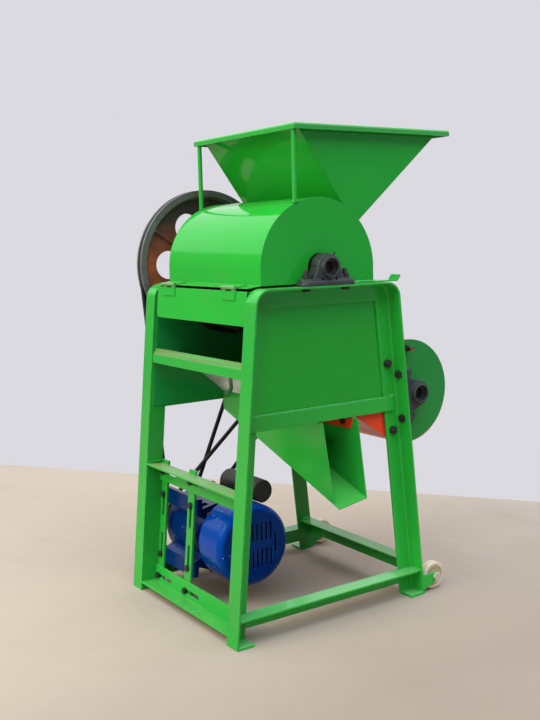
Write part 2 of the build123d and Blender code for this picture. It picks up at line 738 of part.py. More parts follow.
def concave_ribs(rods):
    """Curved flats under the rods, notched for them."""
    inner = BEATER_R + CONCAVE_GAP + ROD_R
    outer = inner + RIB_DEPTH
    half = CONCAVE_ARC / 2 + degrees(asin(1.5 * ROD_R / inner))
    wedge = outline(DRUM, *[polar(DRUM, 2 * outer, 270 + side * half) for side in (-1, 0, 1)])
    ring = Pos(*DRUM) * (Circle(outer) - Circle(inner))
    ribs = []
    for y in (-RIB_SPACING, 0, RIB_SPACING):
        rib = prism(ring & wedge, y - RIB_T / 2, y + RIB_T / 2)
        for rod in rods:
            rib -= rod
        ribs.append(rib)
    return ribs


# Belt drive

def grooved(r, y, width):
    """Radius and Y pairs of a one-groove rim's outer side, from its front to its back."""
    floor = r - BELT_H - 2 * BELT_GAP
    return [(r, y - width / 2), (r, y - GROOVE_W / 2), (floor, y - GROOVE_W / 2),
            (floor, y + GROOVE_W / 2), (r, y + GROOVE_W / 2), (r, y + width / 2)]


def drum_pulley():
    y = MAIN_BELT_Y
    rim_in = DRUM_PULLEY_R - DRUM_RIM
    half_rim = DRUM_PULLEY_W / 2
    half_hub = DRUM_HUB_W / 2
    half_web = DRUM_WEB_T / 2
    profile = grooved(DRUM_PULLEY_R, y, DRUM_PULLEY_W)
    profile += [(rim_in, y + half_rim), (rim_in, y + half_web), (DRUM_HUB_R, y + half_web),
                (DRUM_HUB_R, y + half_hub), (SHAFT_R, y + half_hub), (SHAFT_R, y - half_hub),
                (DRUM_HUB_R, y - half_hub), (DRUM_HUB_R, y - half_web), (rim_in, y - half_web),
                (rim_in, y - half_rim)]
    pulley = turned(profile, *DRUM)
    step = 360 / LIGHT_HOLE_COUNT
    rib = box(DRUM_HUB_R - WEB_RIB_T, rim_in + DRUM_RIM / 4, y - half_web - WEB_RIB_PROUD, y,
              -WEB_RIB_T / 2, WEB_RIB_T / 2)
    for i in range(LIGHT_HOLE_COUNT):
        hole = polar(DRUM, LIGHT_HOLE_OUT, LIGHT_HOLE_START + step * i)
        pulley -= cyl_y(hole[0], hole[1], LIGHT_HOLE_R, y - half_rim, y + half_rim)
        pulley += Pos(DRUM[0], 0, DRUM[1]) * Rot(0, -LIGHT_HOLE_START - step * (i + 0.5), 0) * rib
    return pulley


def belt(y, first, r1, second, r2):
    """A closed belt round two pulleys, clear of their grooves."""
    span = hypot(second[0] - first[0], second[1] - first[1])
    along = degrees(atan2(second[1] - first[1], second[0] - first[0]))
    loops = []
    for grow in (-BELT_GAP, -BELT_GAP - BELT_H):
        wide = degrees(acos((r1 - r2) / span))
        a1 = polar(first, r1 + grow, along + wide)
        a2 = polar(second, r2 + grow, along + wide)
        b1 = polar(first, r1 + grow, along - wide)
        b2 = polar(second, r2 + grow, along - wide)
        edges = Line(a1, a2) + CenterArc(second, r2 + grow, along + wide, -2 * wide)
        edges += Line(b2, b1) + CenterArc(first, r1 + grow, along - wide, 2 * wide - 360)
        loops.append(make_face(edges))
    return prism(loops[0] - loops[1], y - BELT_W / 2, y + BELT_W / 2)


# Motor

def motor_bars():
    bars = []
    x0 = STEEL_W
    x1 = STEEL_W + BAR_T
    slot_r = BAR_SLOT_W / 2
    for y in BAR_YS:
        bar = box(x0, x1, y - BAR_W / 2, y + BAR_W / 2,
                  MOTOR_CROSS_BOTTOM - BAR_OVER_BOTTOM, MOTOR_CROSS_TOP + BAR_OVER_TOP)
        for side in (-1, 1):
            mid = MOTOR_UP + side * MOTOR_A / 2
            ends = sorted((mid, mid - side * (BAR_SLOT_L - BAR_SLOT_W)))
            bar -= slot_up(x0 - BAR_T, x1 + BAR_T, y, ends[0], ends[1], slot_r)
        for up in cross_bolt_ups():
            bar -= cyl_x(y, up, slot_r, x0 - BAR_T, x1 + BAR_T)
        bars.append(LEFT_END * bar)
    return bars


def motor_bolts():
    foot_bolt = hex_bolt(MOTOR_BOLT_D, BAR_T + FOOT_PAD_T)
    bar_bolt = hex_bolt(MOTOR_BOLT_D, STEEL_T + BAR_T)
    bolts = []
    for y in BAR_YS:
        for up in (MOTOR_UP - MOTOR_A / 2, MOTOR_UP + MOTOR_A / 2):
            bolts.append(LEFT_END * Pos(STEEL_W, y, up) * Rot(0, 90, 0) * foot_bolt)
        for up in cross_bolt_ups():
            bolts.append(LEFT_END * Pos(STEEL_W - STEEL_T, y, up) * Rot(0, 90, 0) * bar_bolt)
    return bolts


def motor_foot(side):
    """One foot: a pad on the bars and a web that runs back to the barrel."""
    pad_x = STEEL_W + BAR_T
    axis_x = pad_x + MOTOR_H
    mid = MOTOR_UP + side * MOTOR_A / 2
    pad = box(pad_x, pad_x + FOOT_PAD_T, MOTOR_Y - FOOT_PAD_L / 2, MOTOR_Y + FOOT_PAD_L / 2,
              mid - FOOT_PAD_W / 2, mid + FOOT_PAD_W / 2)
    inner = mid - side * FOOT_PAD_W / 2
    shank = inner + side * FOOT_PAD_T
    web = outline((pad_x, inner), (axis_x, MOTOR_UP), (axis_x - BARREL_R / 3, MOTOR_UP + side * BARREL_R),
                  (pad_x + FOOT_PAD_T, shank), (pad_x, shank))
    ends = (BARREL_Y0 + BARREL_T, BARREL_Y1 - BARREL_T)
    foot = pad + prism(web, *ends)
    for y in BAR_YS:
        foot -= cyl_x(y, mid, bolt_hole(MOTOR_BOLT_D), 0, pad_x + 2 * FOOT_PAD_T)
    return LEFT_END * foot


def motor_housing():
    barrel = cyl_y(*MOTOR, BARREL_R, BARREL_Y0, BARREL_Y1)
    barrel += motor_foot(-1) + motor_foot(1)
    eye = cyl_z(MOTOR[0], EYE_Y, EYE_R, MOTOR[1], MOTOR[1] + EYE_UP)
    barrel += fillet(eye.edges().sort_by(Axis.Z)[-1], EYE_R / 2)
    clear = cyl_y(*MOTOR, BARREL_R - BARREL_T, BARREL_Y0 - 1, BARREL_Y1 + 1)
    pad_x = STEEL_W + BAR_T + FOOT_PAD_T
    for y in BAR_YS:
        for up in (MOTOR_UP - MOTOR_A / 2, MOTOR_UP + MOTOR_A / 2):
            clear += LEFT_END * cyl_x(y, up, 1.1 * MOTOR_BOLT_D, pad_x, pad_x + 2 * FOOT_PAD_T)
    return barrel - clear


def end_shield(y0, out, flange_r):
    """A bearing shield beside the barrel at y0, facing out (-1 front, 1 rear)."""
    profile = [(MOTOR_SHAFT_R + RUN_CLEAR, y0), (BARREL_R, y0), (BARREL_R, y0 + out * SHIELD_T / 2),
               (flange_r, y0 + out * SHIELD_T / 2), (flange_r, y0 + out * SHIELD_T),
               (SHIELD_BOSS_R, y0 + out * SHIELD_T), (SHIELD_BOSS_R, y0 + out * (SHIELD_T + SHIELD_BOSS_L)),
               (MOTOR_SHAFT_R + RUN_CLEAR, y0 + out * (SHIELD_T + SHIELD_BOSS_L))]
    return turned(profile, *MOTOR)


def cowl_y():
    """Back and face of the fan cowl."""
    back = BARREL_Y0 - SHIELD_T / 2
    return back, back - COWL_L


def motor_cowl():
    back, face = cowl_y()
    shell = Cylinder(COWL_R, COWL_L)
    shell = fillet(shell.edges().sort_by(Axis.Z)[-1], COWL_ROUND)
    core = Pos(0, 0, -COWL_T) * Cylinder(COWL_R - COWL_T, COWL_L)
    core = fillet(core.edges().sort_by(Axis.Z)[-1], COWL_ROUND - COWL_T)
    cowl = Pos(MOTOR[0], (back + face) / 2, MOTOR[1]) * Rot(90, 0, 0) * (shell - core)
    columns = int(LOUVRE_REACH / LOUVRE_PITCH)
    for i in range(-columns, columns):
        x = (i + 0.5) * LOUVRE_PITCH
        reach = min(LOUVRE_GAP / 2 + LOUVRE_H, sqrt(LOUVRE_REACH ** 2 - x ** 2))
        spans = [(-reach, -LOUVRE_GAP / 2), (LOUVRE_GAP / 2, reach)]
        if i in (-columns, columns - 1):
            spans = [(-LOUVRE_SIDE_H / 2, LOUVRE_SIDE_H / 2)]
        for z0, z1 in spans:
            slot = box(x - LOUVRE_W / 2, x + LOUVRE_W / 2, face - COWL_T, face + 2 * COWL_T, z0, z1)
            cowl -= Pos(MOTOR[0], 0, MOTOR[1]) * slot
    return cowl


def capacitor_cover():
    """Round cover along the motor's shoulder on a narrower saddle, trimmed to the barrel and the cowl."""
    cover = cyl_y(0, CAP_OFFSET, CAP_R, CAP_Y0, CAP_Y1)
    ends = cover.faces().sort_by(Axis.Y)
    cover = fillet(ends[0].edges() + ends[-1].edges(), CAP_ROUND)
    half = CAP_SADDLE_W / 2
    cover += box(-half, half, BARREL_Y0 + CAP_SADDLE_IN, CAP_Y1 - CAP_SADDLE_IN, 0, CAP_OFFSET)
    cover = Pos(MOTOR[0], 0, MOTOR[1]) * Rot(0, CAP_LEAN, 0) * cover
    cover -= cyl_y(*MOTOR, BARREL_R, CAP_Y0 - CAP_R, CAP_Y1 + CAP_R)
    return cover - cyl_y(*MOTOR, COWL_R + COWL_T, CAP_Y0 - CAP_R, BARREL_Y0)


def motor_stator():
    mid = (BARREL_Y0 + BARREL_Y1) / 2
    ring = cyl_y(*MOTOR, BARREL_R - BARREL_T, mid - STATOR_L / 2, mid + STATOR_L / 2)
    return ring - cyl_y(*MOTOR, CORE_R + CORE_GAP, mid - STATOR_L, mid + STATOR_L)


def motor_shaft():
    y0 = cowl_y()[0] - MOTOR_SHAFT_TAIL - SHIELD_BOSS_L
    return cyl_y(*MOTOR, MOTOR_SHAFT_R, y0, MAIN_BELT_Y + PULLEY_W / 2)


def rotor_core():
    mid = (BARREL_Y0 + BARREL_Y1) / 2
    core = cyl_y(*MOTOR, CORE_R, mid - CORE_L / 2, mid + CORE_L / 2)
    return core - cyl_y(*MOTOR, MOTOR_SHAFT_R, mid - CORE_L, mid + CORE_L)


def cooling_fan():
    y1 = BARREL_Y0 - SHIELD_T - SHIELD_BOSS_L - COOLER_BLADE_T
    y0 = y1 - COOLER_W
    fan = cyl_y(*MOTOR, COOLER_HUB_R, y0, y1)
    fan += cyl_y(*MOTOR, COOLER_R, y1 - COOLER_BLADE_T, y1)
    for i in range(COOLER_BLADES):
        turn = Pos(MOTOR[0], 0, MOTOR[1]) * Rot(0, 360 * i / COOLER_BLADES, 0)
        fan += turn * box(COOLER_HUB_R / 2, COOLER_R, y0, y1, -COOLER_BLADE_T / 2, COOLER_BLADE_T / 2)
    return fan - cyl_y(*MOTOR, MOTOR_SHAFT_R, y0 - 1, y1 + 1)


def plain_pulley(r, y, bore, axis):
    """A one-groove pulley with a straight bore."""
    profile = grooved(r, y, PULLEY_W)
    profile += [(bore, y + PULLEY_W / 2), (bore, y - PULLEY_W / 2)]
    return turned(profile, *axis)


def step_pulley():
    """Motor pulley with a large groove for the blower belt and a small one for the drum belt."""
    pulley = plain_pulley(MOTOR_FAN_R, FAN_BELT_Y, MOTOR_SHAFT_R, MOTOR)
    pulley += plain_pulley(MOTOR_MAIN_R, MAIN_BELT_Y, MOTOR_SHAFT_R, MOTOR)
    sleeve = cyl_y(*MOTOR, (MOTOR_SHAFT_R + MOTOR_MAIN_R - BELT_H) / 2, FAN_BELT_Y, MAIN_BELT_Y)
    return pulley + (sleeve - cyl_y(*MOTOR, MOTOR_SHAFT_R, FAN_BELT_Y, MAIN_BELT_Y))


# Blower

def duct_line():
    """Lower wall of the blower's duct: from its tangent on the scroll to the chute's right wall."""
    start = polar(FAN, SCROLL_R, 270 - DUCT_RISE_DEG)
    run = (start[0] - CHUTE_X1 + CHUTE_T) / cos(radians(DUCT_RISE_DEG))
    return start, polar(start, run, 180 - DUCT_RISE_DEG)


def scroll_face(r):
    """Sketch of the scroll's side: its circle and the duct that leaves it."""
    start, end = duct_line()
    tongue = polar(FAN, SCROLL_R, TONGUE_DEG)
    duct = outline(FAN, start, end, (end[0], end[1] + SCROLL_T), tongue)
    return Pos(*FAN) * Circle(r) + duct


def fan_scroll():
    """Blower casing: rolled sheet with two cheeks, and a duct whose lip hooks over the chute wall."""
    start, end = duct_line()
    outer = SCROLL_R + SCROLL_T
    low_deg = 270 - DUCT_RISE_DEG
    mouth_degs = (TONGUE_DEG, (TONGUE_DEG + low_deg) / 2, low_deg)
    mouth = outline(FAN, *[polar(FAN, 2 * outer, angle) for angle in mouth_degs])
    roll = Pos(*FAN) * (Circle(outer) - Circle(SCROLL_R)) - mouth
    below = (SCROLL_T * sin(radians(DUCT_RISE_DEG)), SCROLL_T * cos(radians(DUCT_RISE_DEG)))
    wall = outline(start, end, (end[0], end[1] - SCROLL_T / cos(radians(DUCT_RISE_DEG))),
                   (start[0] - below[0], start[1] - below[1]))
    lip = outline(end, (end[0] - SCROLL_T, end[1]), (end[0] - SCROLL_T, end[1] - DUCT_LIP_DROP),
                  (end[0], end[1] - DUCT_LIP_DROP))
    casing = prism(roll, -Y_CHEEK, Y_CHEEK) + prism(wall, -Y_CHEEK, Y_CHEEK)
    casing += prism(lip, -Y_CHEEK, chute_floor_y(end[1] - DUCT_LIP_DROP - 2 * CHUTE_T)) + duct_ear(end)
    cheek = prism(scroll_face(SCROLL_R) - Pos(*FAN) * Circle(FAN_INLET_R), Y_CHEEK - CHEEK_T, Y_CHEEK)
    cheek -= housing_bolt_holes(0, Y_OUT) + disc_stud_hole()
    casing += cheek + to_front(cheek)
    for hole in duct_bolts()[1]:
        casing -= hole
    return casing


def duct_ear(end):
    """Front end of the duct's lip, which shows under the rail with its lower corner rounded."""
    low, high = end[1] - DUCT_LIP_DROP, RAIL_BOTTOM - 2 * CHUTE_T
    corner = (-Y_CHEEK - DUCT_EAR_LOW_OUT, low)
    face = outline((-Y_CHEEK, low), (-Y_CHEEK, high), (-Y_CHEEK - DUCT_EAR_OUT, high), corner)
    face = fillet(face.vertices().sort_by_distance(corner)[0], DUCT_EAR_R)
    return side_prism(face, end[0] - SCROLL_T, end[0])


def duct_bolts():
    """Bolts through the duct's lip and the chute's right wall, and the holes that they need."""
    end = duct_line()[1]
    bolt = hex_bolt(MOTOR_BOLT_D, SCROLL_T + CHUTE_T)
    bolts = []
    holes = []
    for y in DUCT_BOLT_Y:
        z = end[1] - DUCT_BOLT_DROP
        bolts.append(Pos(end[0] - SCROLL_T, y, z) * Rot(0, 90, 0) * bolt)
        holes.append(cyl_x(y, z, bolt_hole(MOTOR_BOLT_D), end[0] - CHUTE_T, end[0] + 2 * CHUTE_T))
    return bolts, holes


def disc_blank(y0, y1):
    """Round of a blower side disc, which sits a little off the shaft's axis."""
    x, z = FAN[0] + FAN_DISC_SHIFT[0], FAN[1] + FAN_DISC_SHIFT[1]
    return cyl_y(x, z, SCROLL_R + SCROLL_T - FAN_DISC_IN, y0, y1)


def fan_disc(hole_r):
    """A rear side disc of the blower with its central opening, cut straight behind the leg."""
    disc = disc_blank(Y_CHEEK, Y_PANEL)
    disc -= RIGHT_END * box(-FOOT_SPAN, FAN_DISC_LAP - STEEL_W, 0, Y_OUT, 0, FRAME_H)
    return disc - cyl_y(*FAN, hole_r, 0, Y_OUT) - housing_bolt_holes(0, Y_OUT) - disc_stud_hole()


def disc_stud_hole():
    """Clearance hole for the bolt that holds a side disc to its cheek above the leg."""
    x, z = polar(FAN, DISC_STUD_OUT, DISC_STUD_DEG)
    return cyl_y(x, z, bolt_hole(MOTOR_BOLT_D), 0, Y_OUT)


def housing_bolts():
    bolts = []
    bolt = hex_bolt(MOTOR_BOLT_D, Y_WEB - Y_CHEEK + CHEEK_T)
    for x, z in housing_bolt_points():
        bolts += both_sides(Pos(x, Y_WEB, z) * Rot(90, 0, 0) * bolt)
    x, z = polar(FAN, DISC_STUD_OUT, DISC_STUD_DEG)
    stud = hex_bolt(MOTOR_BOLT_D, FAN_DISC_T + CHEEK_T)
    stud += cyl_z(0, 0, MOTOR_BOLT_D / 2, 0, 2 * MOTOR_BOLT_D + DISC_STUD_L)
    return bolts + both_sides(Pos(x, Y_CHEEK - CHEEK_T, z) * Rot(-90, 0, 0) * stud)


def fan_shaft():
    y0 = SHAFT_INSIDE - BLOCK_Y
    return cyl_y(*FAN, SHAFT_R, y0, FAN_BELT_Y + PULLEY_W / 2)


def fan_impeller():
    wheel = None
    for y in (-SPIDER_SPACING / 2, SPIDER_SPACING / 2):
        spider = cyl_y(*FAN, SPIDER_R, y - SPIDER_T / 2, y + SPIDER_T / 2)
        wheel = spider if wheel is None else wheel + spider
    for i in range(BLADE_COUNT):
        turn = Pos(FAN[0], 0, FAN[1]) * Rot(0, 20 + 360 * i / BLADE_COUNT, 0)
        wheel += turn * box(BLADE_ROOT_R, BLADE_R, -BLADE_L / 2, BLADE_L / 2, -BLADE_T / 2, BLADE_T / 2)
    return wheel - cyl_y(*FAN, SHAFT_R, -BLADE_L, BLADE_L)


def fan_pulley():
    return plain_pulley(FAN_PULLEY_R, FAN_BELT_Y, SHAFT_R, FAN)


# Cover, hopper and hinges

HINGE_X = guard_line(GUARD_TOP, SHEET_T)[0] - HINGE_LEAF_T / 2


def cover_outline(r):
    """Arch of the cover with straight sides down to its lower edge."""
    arch = Pos(0, COVER_AXIS_Z) * Circle(r)
    arch += outline((-r, COVER_BOTTOM), (r, COVER_BOTTOM), (r, COVER_AXIS_Z), (-r, COVER_AXIS_Z))
    low = outline((-2 * r, 0), (2 * r, 0), (2 * r, COVER_BOTTOM), (-2 * r, COVER_BOTTOM))
    return arch - low


def flare_edge():
    """Outer lower edge of the cover's flared hem, beside the hinge barrel."""
    return (HINGE_X + HINGE_KNUCKLE_R + HINGE_FLARE_GAP, COVER_BOTTOM - FLARE_DROP)


def funnel_points(inset):
    """Corners of the hopper's funnel in X and Z, drawn in by a wall thickness."""
    top = RIM_TOP - RIM_T
    left = (RIM_X0 + RIM_FLANGE, top)
    right = (RIM_X0 + RIM_L - RIM_FLANGE, top)
    centre = (0, COVER_AXIS_Z)
    low_left = polar(centre, COVER_R, THROAT_HIGH_DEG)
    low_right = polar(centre, COVER_R, THROAT_LOW_DEG)
    reach = 1 + 4 * COVER_T / (top - low_left[1])
    corners = []
    for up, down, side in ((left, low_left, 1), (right, low_right, -1)):
        run = (down[0] - up[0], down[1] - up[1])
        shift = side * inset * hypot(*run) / -run[1]
        corners.append([(up[0] + shift, up[1]), (up[0] + run[0] * reach + shift, up[1] + run[1] * reach)])
    return corners[0][0], corners[0][1], corners[1][1], corners[1][0]


def drum_cover():
    half = COVER_L / 2
    shell = prism(cover_outline(COVER_R) - cover_outline(COVER_R - COVER_T), -half, half)
    end = prism(cover_outline(COVER_R), half - COVER_T, half)
    end -= cyl_y(*DRUM, COVER_NOTCH_R, 0, Y_OUT)
    end -= box(-COVER_NOTCH_R, COVER_NOTCH_R, 0, Y_OUT, 0, DRUM_Z)
    edge = flare_edge()
    hem = outline((-COVER_R, COVER_BOTTOM), edge, (edge[0], edge[1] + COVER_T),
                  (-COVER_R, COVER_BOTTOM + COVER_T))
    cover = shell + end + to_front(end) + prism(hem, -half, half)
    throat = (RIM_W / 2 - RIM_FLANGE) - HOPPER_T
    return cover - prism(outline(*funnel_points(HOPPER_T)), -throat, throat)


def hopper_funnel():
    half = RIM_W / 2 - RIM_FLANGE
    skin = prism(outline(*funnel_points(0)), -half, half)
    skin -= prism(outline(*funnel_points(HOPPER_T)), HOPPER_T - half, half - HOPPER_T)
    return skin - cyl_y(0, COVER_AXIS_Z, COVER_R, -half - 1, half + 1)


def hopper_rim():
    x1 = RIM_X0 + RIM_L
    half = RIM_W / 2
    tray = box(RIM_X0, x1, -half, half, RIM_TOP - RIM_LIP, RIM_TOP)
    tray -= box(RIM_X0 + RIM_T, x1 - RIM_T, RIM_T - half, half - RIM_T, 0, RIM_TOP - RIM_T)
    inner = RIM_FLANGE + HOPPER_T
    return tray - box(RIM_X0 + inner, x1 - inner, inner - half, half - inner, 0, 2 * RIM_TOP)


def hopper_posts():
    x = RIM_X0 + RIM_T + POST_R
    y = COVER_L / 2 - POST_R + POST_OVERHANG
    post = cyl_z(x, y, POST_R, COVER_AXIS_Z, RIM_TOP - RIM_T)
    return both_sides(post - cyl_y(0, COVER_AXIS_Z, COVER_R, 0, Y_OUT))


def hinge_frame_leaf(y):
    """Leaf screwed to the guard panel, with the two outer knuckles and the pin."""
    low = guard_line(GUARD_TOP - HINGE_LEAF_H, SHEET_T)
    high = guard_line(GUARD_TOP, SHEET_T)
    plate = outline(low, high, (HINGE_X + HINGE_LEAF_T / 2, HINGE_Z), (HINGE_X - HINGE_LEAF_T / 2, HINGE_Z),
                    (high[0] - HINGE_LEAF_T, high[1]), (low[0] - HINGE_LEAF_T, low[1]))
    leaf = prism(plate, y - HINGE_W / 2, y + HINGE_W / 2)
    leaf += cyl_y(HINGE_X, HINGE_Z, HINGE_KNUCKLE_R, y - HINGE_W / 2, y + HINGE_W / 2)
    room = HINGE_MID / 2 + HINGE_GAP
    window = cyl_y(HINGE_X, HINGE_Z, 2 * HINGE_KNUCKLE_R, y - room, y + room)
    pin = cyl_y(HINGE_X, HINGE_Z, HINGE_PIN_R, y - HINGE_W / 2, y + HINGE_W / 2)
    return leaf - window + pin


def hinge_lid_leaf(y):
    """Leaf on the cover's flared hem, with the middle knuckle."""
    edge = flare_edge()
    grade = (COVER_BOTTOM - edge[1]) / (-COVER_R - edge[0])

    def on_hem(x):
        return (x, edge[1] + COVER_T + grade * (x - edge[0]))

    x1 = edge[0] + LID_LEAF_L
    inner = on_hem(x1)
    outer = on_hem(edge[0])
    neck = on_hem(HINGE_X)
    wide = outline(outer, inner, (inner[0], inner[1] + HINGE_LEAF_T), (outer[0], outer[1] + HINGE_LEAF_T))
    narrow = outline(neck, outer, (outer[0], outer[1] + HINGE_LEAF_T), (neck[0], neck[1] + HINGE_LEAF_T))
    leaf = prism(wide, y - HINGE_W / 2, y + HINGE_W / 2)
    leaf += prism(narrow, y - HINGE_MID / 2, y + HINGE_MID / 2)
    leaf += cyl_y(HINGE_X, HINGE_Z, HINGE_KNUCKLE_R, y - HINGE_MID / 2, y + HINGE_MID / 2)
    return leaf - cyl_y(HINGE_X, HINGE_Z, HINGE_PIN_R + RUN_CLEAR, y - HINGE_W, y + HINGE_W)


# Transport wheels

def wheel_axle_r():
    return BLOCK_BOLT_D / 2


def transport_wheel():
    """Rear wheel: solid nylon with a thinner web and a bored hub."""
    half = WHEEL_W / 2
    web = WHEEL_WEB_W / 2
    tread = WHEEL_R - WHEEL_TREAD
    bore = wheel_axle_r() + RUN_CLEAR
    crown = WHEEL_W / 8
    profile = [(bore, -half), (WHEEL_HUB_R, -half), (WHEEL_HUB_R, -web), (tread, -web), (tread, -half),
               (WHEEL_R - crown, -half), (WHEEL_R, crown - half), (WHEEL_R, half - crown),
               (WHEEL_R - crown, half), (tread, half), (tread, web), (WHEEL_HUB_R, web),
               (WHEEL_HUB_R, half), (bore, half)]
    return Pos(0, BLOCK_Y, 0) * turned(profile, WHEEL_X, WHEEL_Z)


def wheel_bracket_plates():
    """Plates on the leg's outer face, either side of a rear wheel."""
    high = BRACKET_LOW + BRACKET_H
    face = outline((leg_x(BRACKET_LOW), BRACKET_LOW), (WHEEL_X, WHEEL_Z - BRACKET_END_R),
                   (WHEEL_X, WHEEL_Z + BRACKET_END_R), (leg_x(high), high))
    face += Pos(WHEEL_X, WHEEL_Z) * Circle(BRACKET_END_R)
    face -= Pos(WHEEL_X, WHEEL_Z) * Circle(wheel_axle_r())
    start = WHEEL_W / 2 + WHEEL_GAP
    return [prism(face, BLOCK_Y + start, BLOCK_Y + start + BRACKET_T),
            prism(face, BLOCK_Y - start - BRACKET_T, BLOCK_Y - start)]


def wheel_axles():
    grip = WHEEL_W + 2 * (WHEEL_GAP + BRACKET_T)
    axle = Pos(WHEEL_X, BLOCK_Y + grip / 2, WHEEL_Z) * Rot(90, 0, 0) * hex_bolt(BLOCK_BOLT_D, grip)
    return both_sides(axle)


def write(name, *pieces):
    """Write one node, as its separate solids, with the machine's middle over the origin."""
    middle = Pos(-MIDDLE_X, -MIDDLE_Y, 0)
    solids = [middle * solid for piece in pieces for solid in piece.solids()]
    shape = solids[0] if len(solids) == 1 else Compound(children=solids)
    export_step(shape, f"parts/{name}.step")


def main():
    os.makedirs("parts", exist_ok=True)

    frame = rear_side_frame()
    panel = rear_side_panel()
    write("front_side_frame", to_front(frame))
    write("rear_side_frame", frame)
    write("front_side_panel", to_front(panel))
    write("rear_side_panel", panel)
    write("mid_rails", *both_sides(rear_mid_rail(frame)))
    write("bottom_rails", *both_sides(rear_bottom_rail(frame)))
    write("motor_cross_angles", *motor_cross_angles())
    write("blower_cross_angle", blower_cross_angle())
    write("lid_rest_angle", lid_rest_angle())
    write("blower_end_panel", blower_end_panel())
    write("foot_plates", *foot_plates(frame))
    write("lid_clips", *lid_clips())

    duct_fasteners, duct_holes = duct_bolts()
    chute = kernel_chute()
    for hole in duct_holes:
        chute -= hole
    write("hull_guard_panel", hull_guard_panel())
    sill = hull_sill()
    write("hull_sill", sill)
    write("hull_slide", hull_slide(sill))
    write("kernel_chute", chute)

    block = pillow_block()
    write("drum_pillow_block_front", drum_block_place(-BLOCK_Y) * block)
    write("drum_pillow_block_rear", drum_block_place(BLOCK_Y) * block)
    write("fan_pillow_block_front", fan_block_place(-BLOCK_Y) * block)
    write("fan_pillow_block_rear", fan_block_place(BLOCK_Y) * block)
    write("block_bolts", *block_bolts())

    bars = beater_bars()
    rods = concave_rods()
    write("drum_shaft", drum_shaft())
    write("drum_discs", *drum_discs(bars))
    write("beater_bars", *bars)
    write("drum_bearing_rings", *bearing_rings(DRUM))
    write("drum_pulley", drum_pulley())
    write("concave_rods", *rods)
    write("concave_ribs", *concave_ribs(rods))

    write("main_belt", belt(MAIN_BELT_Y, DRUM, DRUM_PULLEY_R, MOTOR, MOTOR_MAIN_R))
    write("fan_belt", belt(FAN_BELT_Y, MOTOR, MOTOR_FAN_R, FAN, FAN_PULLEY_R))

    write("motor_bars", *motor_bars())
    write("motor_bolts", *motor_bolts())
    write("motor_housing", motor_housing())
    write("motor_fan_shield", end_shield(BARREL_Y0, -1, COWL_R - COWL_T))
    write("motor_drive_shield", end_shield(BARREL_Y1, 1, BARREL_R - SHIELD_T / 2))
    write("motor_cowl", motor_cowl())
    write("capacitor_cover", capacitor_cover())
    write("motor_stator", motor_stator())
    write("motor_shaft", motor_shaft())
    write("motor_rotor_core", rotor_core())
    write("motor_cooling_fan", cooling_fan())
    write("motor_pulley", step_pulley())

    write("fan_scroll", fan_scroll())
    write("fan_disc_front", to_front(fan_disc(BLOCK_BOSS_R + FAN_SHAFT_GAP)))
    write("fan_disc_rear", fan_disc(FAN_INLET_R))
    write("blower_bolts", *housing_bolts(), *duct_fasteners)
    write("fan_shaft", fan_shaft())
    write("fan_impeller", fan_impeller())
    write("fan_bearing_rings", *bearing_rings(FAN))
    write("fan_pulley", fan_pulley())

    write("drum_cover", drum_cover())
    write("hopper_funnel", hopper_funnel())
    write("hopper_rim", hopper_rim())
    write("hopper_posts", *hopper_posts())
    write("hinge_frame_leaves", *[hinge_frame_leaf(y) for y in HINGE_Y])
    write("hinge_lid_leaves", *[hinge_lid_leaf(y) for y in HINGE_Y])

    wheel = transport_wheel()
    plates = wheel_bracket_plates()
    write("wheel_front", to_front(wheel))
    write("wheel_rear", wheel)
    write("wheel_brackets", *[twin for plate in plates for twin in both_sides(plate)])
    write("wheel_axles", *wheel_axles())


main()
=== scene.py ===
import math
import random

import bpy
from mathutils import Matrix, Vector

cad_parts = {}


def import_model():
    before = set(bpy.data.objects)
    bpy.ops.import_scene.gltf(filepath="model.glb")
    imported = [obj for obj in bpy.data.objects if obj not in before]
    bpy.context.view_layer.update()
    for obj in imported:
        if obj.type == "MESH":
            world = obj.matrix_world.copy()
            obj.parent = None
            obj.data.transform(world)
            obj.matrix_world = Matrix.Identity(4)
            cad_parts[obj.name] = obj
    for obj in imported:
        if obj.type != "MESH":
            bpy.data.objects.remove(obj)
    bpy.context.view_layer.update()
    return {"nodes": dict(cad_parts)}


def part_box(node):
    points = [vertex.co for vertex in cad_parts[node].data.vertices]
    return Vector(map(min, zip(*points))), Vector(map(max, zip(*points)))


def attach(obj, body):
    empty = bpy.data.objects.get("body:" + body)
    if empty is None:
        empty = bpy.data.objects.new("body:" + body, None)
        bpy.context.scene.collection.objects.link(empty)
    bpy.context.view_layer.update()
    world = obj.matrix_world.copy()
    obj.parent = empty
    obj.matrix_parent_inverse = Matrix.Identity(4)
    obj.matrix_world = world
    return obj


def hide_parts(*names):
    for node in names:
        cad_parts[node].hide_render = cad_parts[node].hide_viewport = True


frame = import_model()

# The frame's origin, in millimetres from the middle of the legs
MIDDLE_X = 54.0
MIDDLE_Y = 16.0

# Axes along Y as X and Z, in millimetres from the middle of the legs, as are all machine places
DRUM = (0.0, 737.5)
MOTOR = (-98.57, 141.14)
FAN = (240.22, 454.90)
WHEEL = (286.97, 31.0)
HINGE = (-178.93, 703.0)

